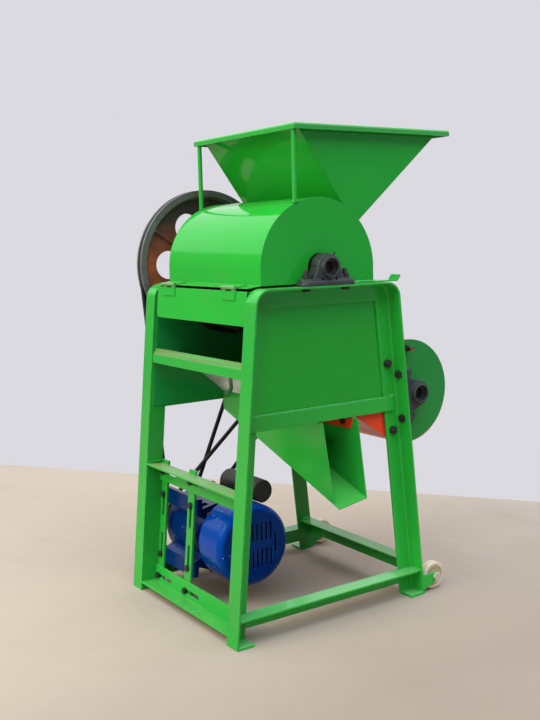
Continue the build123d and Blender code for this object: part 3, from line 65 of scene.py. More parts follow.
# The stand's steel: half spans along X, heights, and distances along Y
FOOT_HALF = 248.0
TOP_HALF = 179.5
FRAME_TOP = 701.0
LEG_SLOPE = (FOOT_HALF - TOP_HALF) / FRAME_TOP
LEG_LEAN = math.atan(LEG_SLOPE)
MOTOR_CROSS_HEIGHTS = (296.0, 17.0)
BLOWER_CROSS_TOP = 81.0
MID_RAIL_LOW = 419.5
MID_RAIL_TOP = 450.2
FOOT_RAIL_TOP = 56.0
SILL_WELD = (527.0, 544.0)
GUARD_WELD = (634.0, 694.0)
HEEL_Y = 188.0
WEB_Y = 192.0
FLANGE_Y = 228.0

# The bearing blocks: distance along Y, the blower's way up the leg, own height, bolts and nipple
BLOCK_Y = 208.0
FAN_UP = 453.5
BLOCK_RISE = 36.5
BLOCK_BOLT = 49.0
NIPPLE_TURN = math.radians(50)

# The hopper's posts and the cover's curved sheet
POST_X = -55.0
POST_Y = 184.0
COVER_RADIUS = 143.0
COVER_Z = 735.0

# Where the shafts' grease ends along Y, in metres of the frame
GREASE_FROM = -0.215

# Linear colours
GREEN = (0.014, 0.36, 0.026)
GREEN_FRAME = (0.021, 0.37, 0.036)
# A darker, bluer copy of the green: painted shade on the rear side panel
GREEN_INNER_SHADED = (0.012, 0.27, 0.05)
GREEN_DISC = (0.016, 0.26, 0.040)
GREEN_DARK = (0.008, 0.06, 0.016)
GREEN_SMEAR = (0.07, 0.27, 0.04)
GREEN_WORN = (0.20, 0.45, 0.16)
WELD_PALE = (0.06, 0.42, 0.08)
DUST = (0.22, 0.33, 0.10)
FOOT_DUST = (0.28, 0.40, 0.22)
SILL_DUST = (0.13, 0.16, 0.045)
HINGE_BARE = (0.16, 0.24, 0.11)
CHIP = (0.075, 0.045, 0.026)
BLUE = (0.0005, 0.045, 0.28)
BLUE_WORN = (0.45, 0.52, 0.60)
BLUE_TINT = (0.18, 0.48, 1.0)
ORANGE = (0.93, 0.066, 0.018)
ORANGE_WORN = (0.60, 0.35, 0.25)
CASTING = (0.024, 0.030, 0.027)
CASTING_EDGE = (0.24, 0.25, 0.23)
BOLT = (0.016, 0.015, 0.014)
RUST = (0.050, 0.031, 0.021)
RED_MARK = (0.45, 0.035, 0.02)
BARE_STEEL = (0.33, 0.32, 0.31)
PLATED_STEEL = (0.60, 0.56, 0.45)
WORKED_STEEL = (0.090, 0.090, 0.076)
TURNED_STEEL = (0.5, 0.5, 0.5)
GREASE = (0.026, 0.025, 0.023)
ZINC_DARK = (0.75, 0.74, 0.72)
ZINC_LIGHT = (0.90, 0.89, 0.87)
ZINC_GRIME = (0.26, 0.25, 0.22)
RUBBER = (0.009, 0.009, 0.0105)
RUBBER_DUST = (0.018, 0.018, 0.019)
PLASTIC = (0.011, 0.010, 0.009)
PLASTIC_DUST = (0.04, 0.038, 0.038)
LAMINATION = (0.12, 0.115, 0.11)
RIM_GREY = (0.15, 0.14, 0.12)
WEB_BROWN = (0.32, 0.075, 0.022)
# Painted shade for the top of the drum pulley's web
WEB_SHADE = (0.040, 0.028, 0.020)
NYLON = (0.72, 0.57, 0.36)
NYLON_STAIN = (0.36, 0.26, 0.09)
FLOOR = (0.43, 0.337, 0.238)
FLOOR_DARK = (0.387, 0.303, 0.211)
WALL = (0.71, 0.70, 0.745)
AHEAD_SEEN = (0.45, 0.51, 0.70)
ASIDE_SEEN = (0.32, 0.32, 0.31)
SKY_SEEN = (1.40, 1.46, 1.52)
SKY_NEAR = (4.15, 4.8, 6.4)
SKY_FAR = (1.1, 1.2, 1.35)
HORIZON_DIM = (0.11, 0.115, 0.13)
HORIZON_BRIGHT = (0.72, 0.72, 0.72)


def place(x, y, z):
    """A machine place as a point of the frame, in metres."""
    return Vector((x - MIDDLE_X, y - MIDDLE_Y, z)) / 1000


def leg_x(z):
    """Outer face of a right-hand leg at a height."""
    return FOOT_HALF - LEG_SLOPE * z


def tone(colour, gain):
    """A colour made lighter or darker."""
    return tuple(min(1.0, channel * gain) for channel in colour)


class Nodes:
    """A node tree that is being put together."""

    def __init__(self, tree):
        self.tree = tree
        self.tree.nodes.clear()

    def feed(self, socket, value):
        """Link a socket to another, or set its value."""
        if isinstance(value, bpy.types.NodeSocket):
            self.tree.links.new(value, socket)
        elif isinstance(value, tuple) and len(value) == 3 and socket.type == "RGBA":
            socket.default_value = (*value, 1.0)
        else:
            socket.default_value = value

    def node(self, kind, inputs, output=0, **settings):
        """Add a node with its inputs and settings, and give one of its outputs."""
        made = self.tree.nodes.new(kind)
        for key, value in settings.items():
            setattr(made, key, value)
        for key, value in inputs.items():
            self.feed(made.inputs[key], value)
        return None if output is None else made.outputs[output]

    def span(self, value, low, high, start=0.0, end=1.0):
        """Map the range from low to high onto start to end."""
        return self.node("ShaderNodeMapRange", {"Value": value, "From Min": low, "From Max": high,
                                                "To Min": start, "To Max": end})

    def math(self, operation, first, second):
        """An operation on two values."""
        return self.node("ShaderNodeMath", {0: first, 1: second}, operation=operation)

    def times(self, *values):
        """All the values multiplied."""
        result = values[0]
        for value in values[1:]:
            result = self.math("MULTIPLY", result, value)
        return result

    def blend(self, amount, first, second):
        """Mix two colours."""
        return self.node("ShaderNodeMix", {0: amount, 6: first, 7: second}, 2, data_type="RGBA")

    def dot(self, first, second):
        """The dot product of two vectors."""
        return self.node("ShaderNodeVectorMath", {0: first, 1: second}, 1, operation="DOT_PRODUCT")

    def axis(self, vector, index):
        """One of a vector's three parts."""
        return self.node("ShaderNodeSeparateXYZ", {0: vector}, index)


class Shader(Nodes):
    """A material's nodes."""

    def __init__(self, name):
        self.material = bpy.data.materials.new(name)
        self.material.use_nodes = True
        super().__init__(self.material.node_tree)
        self.surface = self.tree.nodes.new("ShaderNodeBsdfPrincipled")
        out = self.tree.nodes.new("ShaderNodeOutputMaterial")
        self.tree.links.new(self.surface.outputs[0], out.inputs[0])
        coords = self.tree.nodes.new("ShaderNodeTexCoord")
        self.place = coords.outputs["Object"]
        self.facing = coords.outputs["Normal"]
        self.rounded = None

    def noise(self, scale, detail=2.0, rough=0.5, twist=0.0, stretch=None):
        """Noise over the object, stretched where three scales are given."""
        where = self.place
        if stretch is not None:
            where = self.node("ShaderNodeMapping", {"Vector": where, "Scale": stretch})
        return self.node("ShaderNodeTexNoise", {"Vector": where, "Scale": scale, "Detail": detail,
                                                "Roughness": rough, "Distortion": twist})

    def cells(self, scale, output=0):
        """Cells over the object: the distance to their middles, or their colours."""
        return self.node("ShaderNodeTexVoronoi", {"Vector": self.place, "Scale": scale}, output)

    def mottled(self, pattern, colour, dark, light):
        """A colour that goes from darker to lighter with a pattern."""
        return self.blend(self.span(pattern, 0.3, 0.7), tone(colour, dark), tone(colour, light))

    def edges(self, radius):
        """How near a sharp edge is, from the difference that rounding it makes to the normal."""
        self.rounded = self.node("ShaderNodeBevel", {"Radius": radius}, samples=6)
        plain = self.node("ShaderNodeNewGeometry", {}, 1)
        return self.span(self.dot(self.rounded, plain), 0.985, 0.80)

    def around(self, centre):
        """Distance from an axis along Y, in metres."""
        middle = place(centre[0], 0, centre[1])
        across = self.math("SUBTRACT", self.axis(self.place, 0), middle.x)
        up = self.math("SUBTRACT", self.axis(self.place, 2), middle.z)
        square = self.math("ADD", self.times(across, across), self.times(up, up))
        return self.math("SQRT", square, 0.0)

    def bump(self, height, distance):
        """Add relief on top of what is there."""
        inputs = {"Height": height, "Distance": distance, "Strength": 1.0}
        if self.rounded is not None:
            inputs["Normal"] = self.rounded
        self.rounded = self.node("ShaderNodeBump", inputs)

    def finish(self, colour, roughness, metallic=0.0, specular=0.5, tint=(1.0, 1.0, 1.0)):
        """Feed the surface and give the material."""
        inputs = {"Base Color": colour, "Roughness": roughness, "Metallic": metallic,
                  "Specular IOR Level": specular, "Specular Tint": tint}
        if self.rounded is not None:
            inputs["Normal"] = self.rounded
        for key, value in inputs.items():
            self.feed(self.surface.inputs[key], value)
        return self.material


def enamel(name, colour, smear, worn_to, dust, wear, gloss, wave, cast=0.0, soil=DUST, settles=(0.80, 0.99),
           specks=0.68, above=None, shine=0.25, tint=(1.0, 1.0, 1.0), lines=None, rubbed=None, front_shade=None,
           tones=(1.0, 1.0), along=0, reach=(-0.28, 0.20)):
    """Brushed or sprayed gloss paint with smears, settled dust, worn edges and chips.

    The tone goes from one share to another along an axis, after the photograph's light and shade.
    Dust settles on faces that look up, more above a height and in lines. Paint is rubbed off near the hinge,
    and faces that look to the front are darkened as painted shade.
    """
    s = Shader(name)
    broad = s.noise(2.6, 3.0)
    fine = s.noise(19.0, 5.0, 0.6)
    # painted light and shade: the paint gets lighter or darker from one end to the other along an axis
    ends = [s.mottled(broad, colour, 0.92 * share, 1.08 * share) for share in tones]
    base = s.blend(s.span(s.axis(s.place, along), *reach), *ends)
    smeared = s.span(s.noise(6.0, 5.0, 0.62, 1.2), 0.56, 0.82, 0.0, 0.38)
    base = s.blend(smeared, base, smear)
    # painted shade: faces that look to the front are darkened
    if front_shade is not None:
        base = s.blend(s.span(s.axis(s.facing, 1), -0.80, -0.97, 0.0, 0.6), base, front_shade)
    level = s.span(s.axis(s.facing, 2), *settles)
    settled = s.times(level, s.span(s.noise(11.0, 6.0, 0.7, 0.0, lines), 0.25, 0.60, 0.35, 1.0), dust)
    if lines is not None:
        settled = s.times(settled, s.span(s.noise(17.0, 4.0, 0.6, 0.0, lines), 0.38, 0.54))
    if above is not None:
        settled = s.times(settled, s.span(s.axis(s.place, 2), *above, 0.3, 1.0))
    base = s.blend(settled, base, soil)
    if rubbed is not None:
        base = s.blend(s.span(s.around(HINGE), rubbed, rubbed - 0.001, 0.0, 0.6), base, HINGE_BARE)
    edge = s.edges(radius=0.0016)
    worn = s.times(edge, s.span(s.noise(33.0, 4.0, 0.6), 0.45, 0.66), wear)
    base = s.blend(worn, base, worn_to)
    chipped = s.times(edge, s.span(s.noise(70.0, 3.0), 0.62, 0.68), wear)
    base = s.blend(chipped, base, CHIP)
    speck = s.times(s.span(s.cells(90.0), 0.13, 0.07), s.span(s.noise(9.0, 2.0), specks, specks + 0.08))
    base = s.blend(speck, base, worn_to)
    rough = s.math("ADD", s.span(fine, 0.3, 0.7, gloss * 0.8, gloss * 1.35), s.times(settled, 0.25))
    rough = s.math("ADD", rough, s.times(worn, 0.25))
    s.bump(s.noise(3.4, 2.0), wave)
    s.bump(s.noise(330.0, 2.0), 0.00005 + cast)
    s.bump(s.math("SUBTRACT", 1.0, chipped), 0.00015)
    return s.finish(base, rough, 0.0, shine, tint)


def green(name, colour, **finish):
    """The machine's green paint in one of its shades."""
    return enamel(name, colour, GREEN_SMEAR, GREEN_WORN, **finish)


def casting(name, colour, edge_to, gloss=0.42, grain=0.00035):
    """Painted sand casting with bright rubbed edges and a little rust."""
    s = Shader(name)
    fine = s.noise(60.0, 4.0, 0.6)
    base = s.mottled(fine, colour, 0.75, 1.3)
    base = s.blend(s.span(s.noise(16.0, 4.0), 0.6, 0.75, 0.0, 0.5), base, RUST)
    edge = s.edges(radius=0.0022)
    worn = s.times(edge, s.span(s.noise(45.0, 3.0), 0.34, 0.54), 0.75)
    base = s.blend(worn, base, edge_to)
    rough = s.span(fine, 0.25, 0.75, gloss * 0.8, gloss * 1.25)
    s.bump(s.noise(240.0, 3.0, 0.7), grain)
    return s.finish(base, rough, s.times(worn, 0.6), 0.35)


def bare_metal(name, colour, rust, gloss, stretch=(1.0, 14.0, 1.0), greased=None, metal=1.0):
    """Bare steel with drawing lines along Y, patches of rust and grease in front of a place along Y."""
    s = Shader(name)
    lines = s.noise(90.0, 3.0, 0.6, 0.0, stretch)
    base = s.mottled(lines, colour, 0.8, 1.15)
    patch = s.span(s.noise(22.0, 5.0, 0.65), 0.52, 0.72, 0.0, rust)
    base = s.blend(patch, base, RUST)
    shiny = s.span(patch, 0.0, 0.8, metal, 0.1)
    if greased is not None:
        clean = s.span(s.axis(s.place, 1), greased, greased + 0.004)
        base = s.blend(clean, GREASE, base)
        shiny = s.times(shiny, clean)
    s.edges(radius=0.0008)
    rough = s.math("ADD", s.span(lines, 0.2, 0.8, gloss * 0.8, gloss * 1.3), s.times(patch, 0.4))
    s.bump(lines, 0.00006)
    return s.finish(base, rough, shiny)


def bolt_metal():
    """Blackened bolts with rust, bright corners and red paint marks."""
    s = Shader("bolt_steel")
    fine = s.noise(150.0, 4.0, 0.6)
    base = s.mottled(fine, BOLT, 0.7, 1.7)
    base = s.blend(s.span(s.noise(70.0, 4.0), 0.5, 0.7, 0.0, 0.45), base, RUST)
    marked = s.span(s.noise(34.0, 1.0), 0.74, 0.76)
    base = s.blend(marked, base, RED_MARK)
    edge = s.edges(radius=0.0007)
    base = s.blend(s.times(edge, s.span(fine, 0.4, 0.6), 0.35), base, BARE_STEEL)
    s.bump(fine, 0.00015)
    return s.finish(base, s.span(fine, 0.3, 0.7, 0.38, 0.6), s.span(marked, 0.0, 1.0, 0.2, 0.0), 0.35)


def zinc_sheet():
    """Galvanised sheet with its crystal pattern and dull streaks."""
    s = Shader("zinc_sheet")
    crystal = s.axis(s.cells(70.0, 1), 0)
    base = s.blend(crystal, ZINC_DARK, ZINC_LIGHT)
    streak = s.span(s.noise(14.0, 5.0, 0.6, 0.8, (1.0, 0.3, 1.0)), 0.52, 0.66, 0.0, 0.45)
    base = s.blend(streak, base, ZINC_GRIME)
    s.edges(radius=0.0006)
    s.bump(s.noise(5.0, 2.0), 0.002)
    return s.finish(base, s.span(crystal, 0.0, 1.0, 0.32, 0.5), 0.35)


def belt_rubber():
    """Wrapped V-belt: dull rubber, dusty, with a fine cloth weave."""
    s = Shader("belt_rubber")
    fine = s.noise(45.0, 4.0, 0.6)
    weave = s.node("ShaderNodeTexWave", {"Vector": s.place, "Scale": 420.0}, 1, bands_direction="DIAGONAL")
    base = s.blend(s.span(fine, 0.45, 0.75, 0.0, 0.7), RUBBER, RUBBER_DUST)
    s.bump(weave, 0.00012)
    return s.finish(base, s.span(fine, 0.3, 0.7, 0.55, 0.75), 0.0, 0.22)


def moulded(name, colour, dust):
    """Dark moulded plastic with a fine grain, rubbed corners and dust on top."""
    s = Shader(name)
    fine = s.noise(30.0, 4.0, 0.6)
    base = s.blend(s.span(fine, 0.4, 0.75), colour, tone(colour, 1.6))
    settled = s.times(s.span(s.axis(s.facing, 2), 0.25, 0.85), s.span(fine, 0.2, 0.6, 0.6, 1.0))
    base = s.blend(settled, base, dust)
    edge = s.edges(radius=0.0012)
    base = s.blend(s.times(edge, s.span(fine, 0.4, 0.6), 0.4), base, tone(colour, 5.0))
    s.bump(s.noise(420.0, 2.0), 0.00012)
    return s.finish(base, s.math("ADD", s.span(fine, 0.3, 0.7, 0.4, 0.55), s.times(settled, 0.2)), 0.0, 0.3)


def laminated():
    """Stacked core plates along the motor's axis."""
    s = Shader("core_steel")
    stack = s.node("ShaderNodeTexWave", {"Vector": s.place, "Scale": 160.0}, 1, bands_direction="Y")
    base = s.blend(stack, tone(LAMINATION, 0.6), tone(LAMINATION, 1.4))
    s.bump(stack, 0.0002)
    return s.finish(base, s.span(stack, 0.0, 1.0, 0.4, 0.55), 0.8)


def drum_pulley_metal():
    """Cast pulley: a dull grey rim round a rust-brown web, darkened towards its top as painted shade."""
    s = Shader("drum_pulley_iron")
    out = s.around(DRUM)
    fine = s.noise(40.0, 5.0, 0.65)
    web = s.mottled(fine, WEB_BROWN, 0.6, 1.5)
    # painted shade: the web darkens towards its top
    top = s.math("SUBTRACT", s.axis(s.place, 2), place(0, 0, DRUM[1]).z)
    top_shade = s.span(s.math("ADD", top, s.times(s.noise(9.0, 3.0), 0.08)), 0.05, 0.15)
    web = s.blend(top_shade, web, WEB_SHADE)
    outward = s.node("ShaderNodeCombineXYZ", {0: out})
    turned = s.node("ShaderNodeTexWave", {"Vector": outward, "Scale": 260.0}, 1)
    rim = s.mottled(fine, RIM_GREY, 0.8, 1.25)
    machined = s.span(out, 0.1575, 0.1590)
    base = s.blend(machined, web, rim)
    edge = s.edges(radius=0.0012)
    base = s.blend(s.times(edge, machined, 0.6), base, CASTING_EDGE)
    s.bump(s.noise(190.0, 3.0, 0.7), 0.0003)
    s.bump(s.times(turned, machined), 0.00005)
    return s.finish(base, s.span(machined, 0.0, 1.0, 0.62, 0.42), s.span(machined, 0.0, 1.0, 0.0, 0.25), 0.4)


def nylon(axle):
    """Moulded nylon wheel with brown stains round the hub."""
    s = Shader("cream_nylon")
    fine = s.noise(26.0, 5.0, 0.6)
    base = s.mottled(fine, NYLON, 0.92, 1.05)
    hub = s.span(s.math("ADD", s.around(axle), s.times(s.noise(60.0, 3.0), 0.008)), 0.023, 0.015)
    spots = s.span(s.noise(38.0, 4.0, 0.6, 0.8), 0.60, 0.72, 0.0, 0.5)
    base = s.blend(s.math("MAXIMUM", s.times(hub, 0.85), spots), base, NYLON_STAIN)
    s.edges(radius=0.0015)
    s.bump(s.noise(160.0, 2.0), 0.00015)
    return s.finish(base, s.span(fine, 0.3, 0.7, 0.36, 0.5))


def floor_finish():
    """Pale smooth concrete with a faint mottle, scuffs and grit, a painted shadow in the middle under the
    machine and painted shade towards the front.
    """
    s = Shader("floor_concrete")
    mottle = s.noise(1.4, 6.0, 0.6)
    pale = s.span(mottle, 0.35, 0.65)
    base = s.blend(pale, FLOOR_DARK, FLOOR)
    streak = s.noise(7.0, 5.0, 0.65, 0.6, (1.0, 0.35, 1.0))
    base = s.blend(s.span(streak, 0.55, 0.75, 0.0, 0.35), base, tone(FLOOR_DARK, 0.86))
    base = s.blend(s.span(s.noise(4.0, 6.0, 0.7, 1.5), 0.60, 0.72, 0.0, 0.3), base, tone(FLOOR, 1.12))
    base = s.blend(s.span(s.noise(60.0, 3.0), 0.68, 0.76, 0.0, 0.3), base, tone(FLOOR_DARK, 0.7))
    # painted shadow: the floor darkens near the middle, under the machine
    out = s.node("ShaderNodeVectorMath", {0: s.place}, 1, operation="LENGTH")
    base = s.blend(s.span(out, 0.12, 0.34, 0.30, 0.0), base, tone(FLOOR_DARK, 0.3))
    # painted shade: the floor darkens towards the front
    floor_front_shade = s.span(s.axis(s.place, 1), -0.10, -0.55)
    base = s.blend(floor_front_shade, base, s.blend(pale, tone(FLOOR_DARK, 0.74), tone(FLOOR, 0.74)))
    s.bump(s.noise(35.0, 4.0), 0.0006)
    return s.finish(base, s.span(mottle, 0.3, 0.7, 0.7, 0.8), 0.0, 0.2)


def mesh_piece(name, points, faces, material, body, smooth=True):
    """A new piece of the machine, from its points and faces, on a body."""
    mesh = bpy.data.meshes.new(name)
    mesh.from_pydata([tuple(point) for point in points], [], faces)
    mesh.validate()
    if smooth:
        mesh.shade_smooth()
    mesh.materials.append(material)
    piece = bpy.data.objects.new(name, mesh)
    bpy.context.scene.collection.objects.link(piece)
    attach(piece, body)
    return piece


def spokes(along, sides):
    """Even directions round an axis."""
    across = along.orthogonal().normalized()
    up = along.cross(across)
    turns = [2 * math.pi * i / sides for i in range(sides)]
    return [across * math.cos(turn) + up * math.sin(turn) for turn in turns]


class Lumps:
    """Points and faces of many small forms that make one piece."""

    def __init__(self, seed=0):
        self.points = []
        self.faces = []
        self.chance = random.Random(seed)

    def rings(self, rings, closed=False):
        """Join rings of points into a skin, with ends closed unless it runs round."""
        start = len(self.points)
        count = len(rings[0])
        for ring in rings:
            self.points.extend(ring)
        spans = len(rings) if closed else len(rings) - 1
        for i in range(spans):
            low = start + i * count
            high = start + (i + 1) % len(rings) * count
            for j in range(count):
                k = (j + 1) % count
                self.faces.append((low + j, low + k, high + k, high + j))
        if not closed:
            self.faces.append(tuple(range(start + count - 1, start - 1, -1)))
            last = start + (len(rings) - 1) * count
            self.faces.append(tuple(range(last, last + count)))

    def bead(self, first, last, radius):
        """A weld bead between two machine places: a rippled run with tapered ends."""
        start = place(*first)
        along = place(*last) - start
        length = along.length
        along.normalize()
        around = spokes(along, sides=8)
        size = radius / 1000
        steps = max(6, int(length / (size * 0.45)))
        rings = []
        for i in range(steps + 1):
            share = i / steps
            taper = min(1.0, 0.35 + 4.0 * min(share, 1 - share) * length / (6 * size))
            ripple = 1 + 0.16 * math.sin(i * 1.9) + self.chance.uniform(-0.14, 0.14)
            centre = start + along * (length * share)
            centre += around[0] * self.chance.uniform(-0.15, 0.15) * size
            rings.append([centre + spoke * size * taper * ripple for spoke in around])
        self.rings(rings)

    def turned(self, origin, axis, profile, sides=20):
        """A turned form: radius and height pairs in millimetres about an axis from a machine place."""
        base = place(*origin)
        along = Vector(axis).normalized()
        around = spokes(along, sides)
        rings = []
        for radius, height in profile:
            centre = base + along * height / 1000
            rings.append([centre + spoke * radius / 1000 for spoke in around])
        self.rings(rings)

    def piece(self, name, material, body, slot, smooth=True):
        """The forms as a piece on a body."""
        return mesh_piece(name, self.points, self.faces, material, body, smooth)

    def melted(self, name, voxel, passes):
        """The forms run together into one skin with softened joints, as a mesh."""
        rough = bpy.data.meshes.new(name)
        rough.from_pydata([tuple(point) for point in self.points], [], self.faces)
        rough.validate()
        model = bpy.data.objects.new(name, rough)
        bpy.context.scene.collection.objects.link(model)
        remesh = model.modifiers.new("skin", "REMESH")
        remesh.mode = "VOXEL"
        remesh.voxel_size = voxel
        ease = model.modifiers.new("ease", "SMOOTH")
        ease.factor = 0.5
        ease.iterations = passes
        graph = bpy.context.evaluated_depsgraph_get()
        mesh = bpy.data.meshes.new_from_object(model.evaluated_get(graph))
        bpy.data.objects.remove(model)
        mesh.shade_smooth()
        return mesh


def belt_path(first, r1, second, r2):
    """Places and outward directions round two pulleys, in X and Z, at the belt's outer radius."""
    run = Vector((second[0] - first[0], second[1] - first[1]))
    along = math.atan2(run.y, run.x)
    wide = math.acos((r1 - r2) / run.length)
    path = []
    for centre, radius, start, sweep in ((second, r2, along + wide, -2 * wide),
                                         (first, r1, along - wide, 2 * wide - 2 * math.pi)):
        steps = max(14, int(abs(sweep) * radius / 7))
        for i in range(steps + 1):
            turn = start + sweep * i / steps
            out = Vector((math.cos(turn), math.sin(turn)))
            path.append((Vector(centre) + out * radius, out))
    return path


def v_belt(name, node, y, first, r1, second, r2, material):
    """A wrapped V-belt round two pulleys, with its corners eased."""
    top, bottom, depth, ease, gap = 4.9, 3.2, 7.9, 0.9, 0.45
    half = [(top - ease, 0), (top, -ease), (bottom, -depth + ease), (bottom - ease, -depth)]
    section = [(-half[0][0], 0)] + half + [(-w, h) for w, h in reversed(half[1:])]
    rings = []
    for point, out in belt_path(first, r1 - gap, second, r2 - gap):
        rings.append([place(point.x + out.x * h, y + w, point.y + out.y * h) for w, h in section])
    skin = Lumps()
    skin.rings(rings, closed=True)
    belt = skin.piece(name, material, "stand", "belt_rubber")
    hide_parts(node)


def frame_welds(material):
    """Beads where the stand's steel is welded."""
    beads = Lumps(11)
    for side in (-1, 1):
        y_web = side * WEB_Y
        y_heel = side * HEEL_Y
        y_out = side * (FLANGE_Y - 1)
        for end in (-1, 1):
            rail = end * (leg_x(FOOT_RAIL_TOP) - 4.5)
            plate = end * (leg_x(6) - 4.5)
            beads.bead((rail, y_heel + side * 5, FOOT_RAIL_TOP), (rail, y_out, FOOT_RAIL_TOP), 2.6)
            beads.bead((plate, y_web, 5), (plate, y_out, 5), 2.2)
        leg = leg_x(420)
        for first, last in ((-leg + 7, -leg + 40), (leg - 18, leg - 40)):
            beads.bead((first, y_web, MID_RAIL_LOW), (last, y_web, MID_RAIL_LOW), 2.4)
        for height in MOTOR_CROSS_HEIGHTS:
            leg = -leg_x(height)
            beads.bead((leg + 3, y_heel, height), (leg + 37, y_heel, height), 2.5)
        leg = leg_x(BLOWER_CROSS_TOP)
        beads.bead((leg - 3, y_heel, BLOWER_CROSS_TOP), (leg - 26, y_heel, BLOWER_CROSS_TOP), 2.5)
        low, high = SILL_WELD
        beads.bead((-leg_x(low) + 3.5, y_heel, low), (-leg_x(high) + 3.5, y_heel, high), 1.8)
    low, high = GUARD_WELD
    beads.bead((-leg_x(low) + 2.5, -HEEL_Y, low), (-leg_x(high) + 2.5, -HEEL_Y, high), 1.8)
    beads.piece("stand_welds", material, "stand", "green_paint")


def pale_welds(material):
    """Thick bright runs along the panels' rails, at the rails' ends and beside the drum's bearings."""
    runs = Lumps(15)
    for side in (-1, 1):
        y_gap = side * 190.4
        left = -leg_x(450) + 7
        right = leg_x(450) - 19
        foot = -leg_x(FOOT_RAIL_TOP)
        runs.bead((left + 6, y_gap, MID_RAIL_TOP), (right - 5, y_gap, MID_RAIL_TOP), 2.1)
        for x, z in ((left, 451.0), (right, 451.2)):
            runs.bead((x - 5, side * 193.5, z), (x + 6, side * 193.0, z + 0.6), 3.6)
        runs.bead((foot + 8, side * 195, 57.0), (foot + 20, side * 194, 57.4), 3.0)
        for x0, x1, lift, size in ((72, 104, 702.8, 3.2), (96, 128, 703.2, 2.7), (120, 146, 702.6, 3.0)):
            runs.bead((x0, side * 190.5, lift), (x1, side * 191.2, lift), size)
    runs.piece("pale_welds", material, "stand", "green_paint")


def cover_welds(material):
    """Beads where the hopper and its posts are welded to the cover and the rim."""
    beads = Lumps(12)
    for x, z in ((74.5, 857), (108.4, 828.3)):
        beads.bead((x, -176, z), (x, 176, z), 1.6)
    turns = [math.radians(degrees) for degrees in (58, 53, 47, 41)]
    arc = [(COVER_RADIUS * math.cos(turn), COVER_Z + COVER_RADIUS * math.sin(turn)) for turn in turns]
    for side in (-1, 1):
        beads.turned((POST_X, side * POST_Y, 868), (0, 0, 1), ((5.7, -1), (5.6, 0.6), (5.2, 1.6)))
        beads.turned((POST_X, side * POST_Y, 1019.5), (0, 0, -1), ((7.6, 0), (7.0, 1.5), (5.2, 2.6)))
        for low, high in zip(arc, arc[1:]):
            beads.bead((low[0], side * 178, low[1]), (high[0], side * 178, high[1]), 1.5)
    beads.piece("cover_welds", material, "cover", "green_paint")


def motor_screws(material):
    """Screws round the cowl and bolts on the drive end shield."""
    screws = Lumps()
    head = ((4.6, -1), (4.6, 1.2), (3.6, 2.4), (1.5, 2.9))
    bolt = ((8.5, 0), (8.5, 1.2), (5.6, 1.3), (5.6, 5.2), (4.6, 5.8))
    for i in range(4):
        turn = math.radians(45 + 90 * i)
        x, z = math.cos(turn), math.sin(turn)
        screws.turned((MOTOR[0] + 89.5 * x, 14, MOTOR[1] + 89.5 * z), (x, 0, z), head)
        screws.turned((MOTOR[0] + 60 * x, 186, MOTOR[1] + 60 * z), (0, 1, 0), bolt, 6)
    screws.piece("motor_screws", material, "stand", "bolt_steel")


def outlet_strap(material):
    """Bent strap that hangs behind the sill in front of the slide."""
    path = ((-140.0, 531.0), (-142.0, 514.0), (-142.5, 505.0), (-138.0, 498.5), (-130.0, 493.5),
            (-119.0, 488.5))
    outer = -191.9
    inner = -189.9
    half = 5.5
    rings = []
    for i, (y, z) in enumerate(path):
        before, after = path[max(i - 1, 0)], path[min(i + 1, len(path) - 1)]
        along = (Vector(after) - Vector(before)).normalized()
        edges = [(y - along.y * half * way, z + along.x * half * way) for way in (-1, 1)]
        ring = [place(outer, *edge) for edge in edges]
        ring += [place(inner, *edge) for edge in reversed(edges)]
        rings.append(ring)
    strap = Lumps()
    strap.rings(rings)
    strap.piece("outlet_strap", material, "stand", "green_paint")


def rolled_rim(material):
    """The hopper's rim with its outer top edge rolled over."""
    low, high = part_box("hopper_rim")
    sheet, roll, flange, ease = 0.002, 0.005, 0.0185, 0.001
    lip = high[2] - low[2]
    section = [(0.0, lip)]
    for i in range(8):
        turn = math.pi / 2 * i / 7
        section.append((roll * (1 - math.cos(turn)), roll * (1 - math.sin(turn))))
    section += [(flange, 0.0), (flange, sheet), (sheet + ease, sheet), (sheet, sheet + ease), (sheet, lip)]
    rings = []
    for side_x, side_y in ((0, 0), (1, 0), (1, 1), (0, 1)):
        corner = []
        for inward, down in section:
            x = high[0] - inward if side_x else low[0] + inward
            y = high[1] - inward if side_y else low[1] + inward
            corner.append(Vector((x, y, high[2] - down)))
        rings.append(corner)
    rim = Lumps()
    rim.rings(rings, closed=True)
    rolled = rim.piece("rolled_rim", material, "cover", "green_paint", False)
    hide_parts("hopper_rim")


def leg_nuts(material):
    """Nuts and stud ends of the blower's bolts on the legs, and the drum blocks' long stud ends."""
    nuts = Lumps()
    nut = ((9.4, 0), (9.4, 6.6), (8.4, 7.4))
    stud = ((4.2, 0), (4.2, 11.6), (3.4, 12.4))
    long_stud = ((4.7, 0), (4.7, 17.0), (3.8, 18.0))
    for side in (-1, 1):
        for z in (376.0, 524.0):
            foot = (leg_x(z) - 23, side * WEB_Y, z)
            nuts.turned(foot, (0, side, 0), nut, 6)
            nuts.turned(foot, (0, side, 0), stud, 14)
        for x in (-BLOCK_BOLT, BLOCK_BOLT):
            nuts.turned((x, side * BLOCK_Y, FRAME_TOP + 15), (0, 0, 1), long_stud, 14)
    nuts.piece("leg_nuts", material, "stand", "bolt_steel")


def rounded_bar(half_x, half_y, corner, height, drop):
    """Points round a rectangle with rounded corners, at a height that drops towards its ends."""
    steps = 6
    flat, fall = 50, 17
    points = []
    for sign_x, sign_y, start in ((1, 1, 0), (-1, 1, 90), (-1, -1, 180), (1, -1, 270)):
        for i in range(steps + 1):
            turn = math.radians(start + 90 * i / steps)
            x = sign_x * (half_x - corner) + corner * math.cos(turn)
            y = sign_y * (half_y - corner) + corner * math.sin(turn)
            z = height - drop * max(0.0, abs(x) - flat) / fall
            points.append(Vector((x, y, z)) / 1000)
    return points


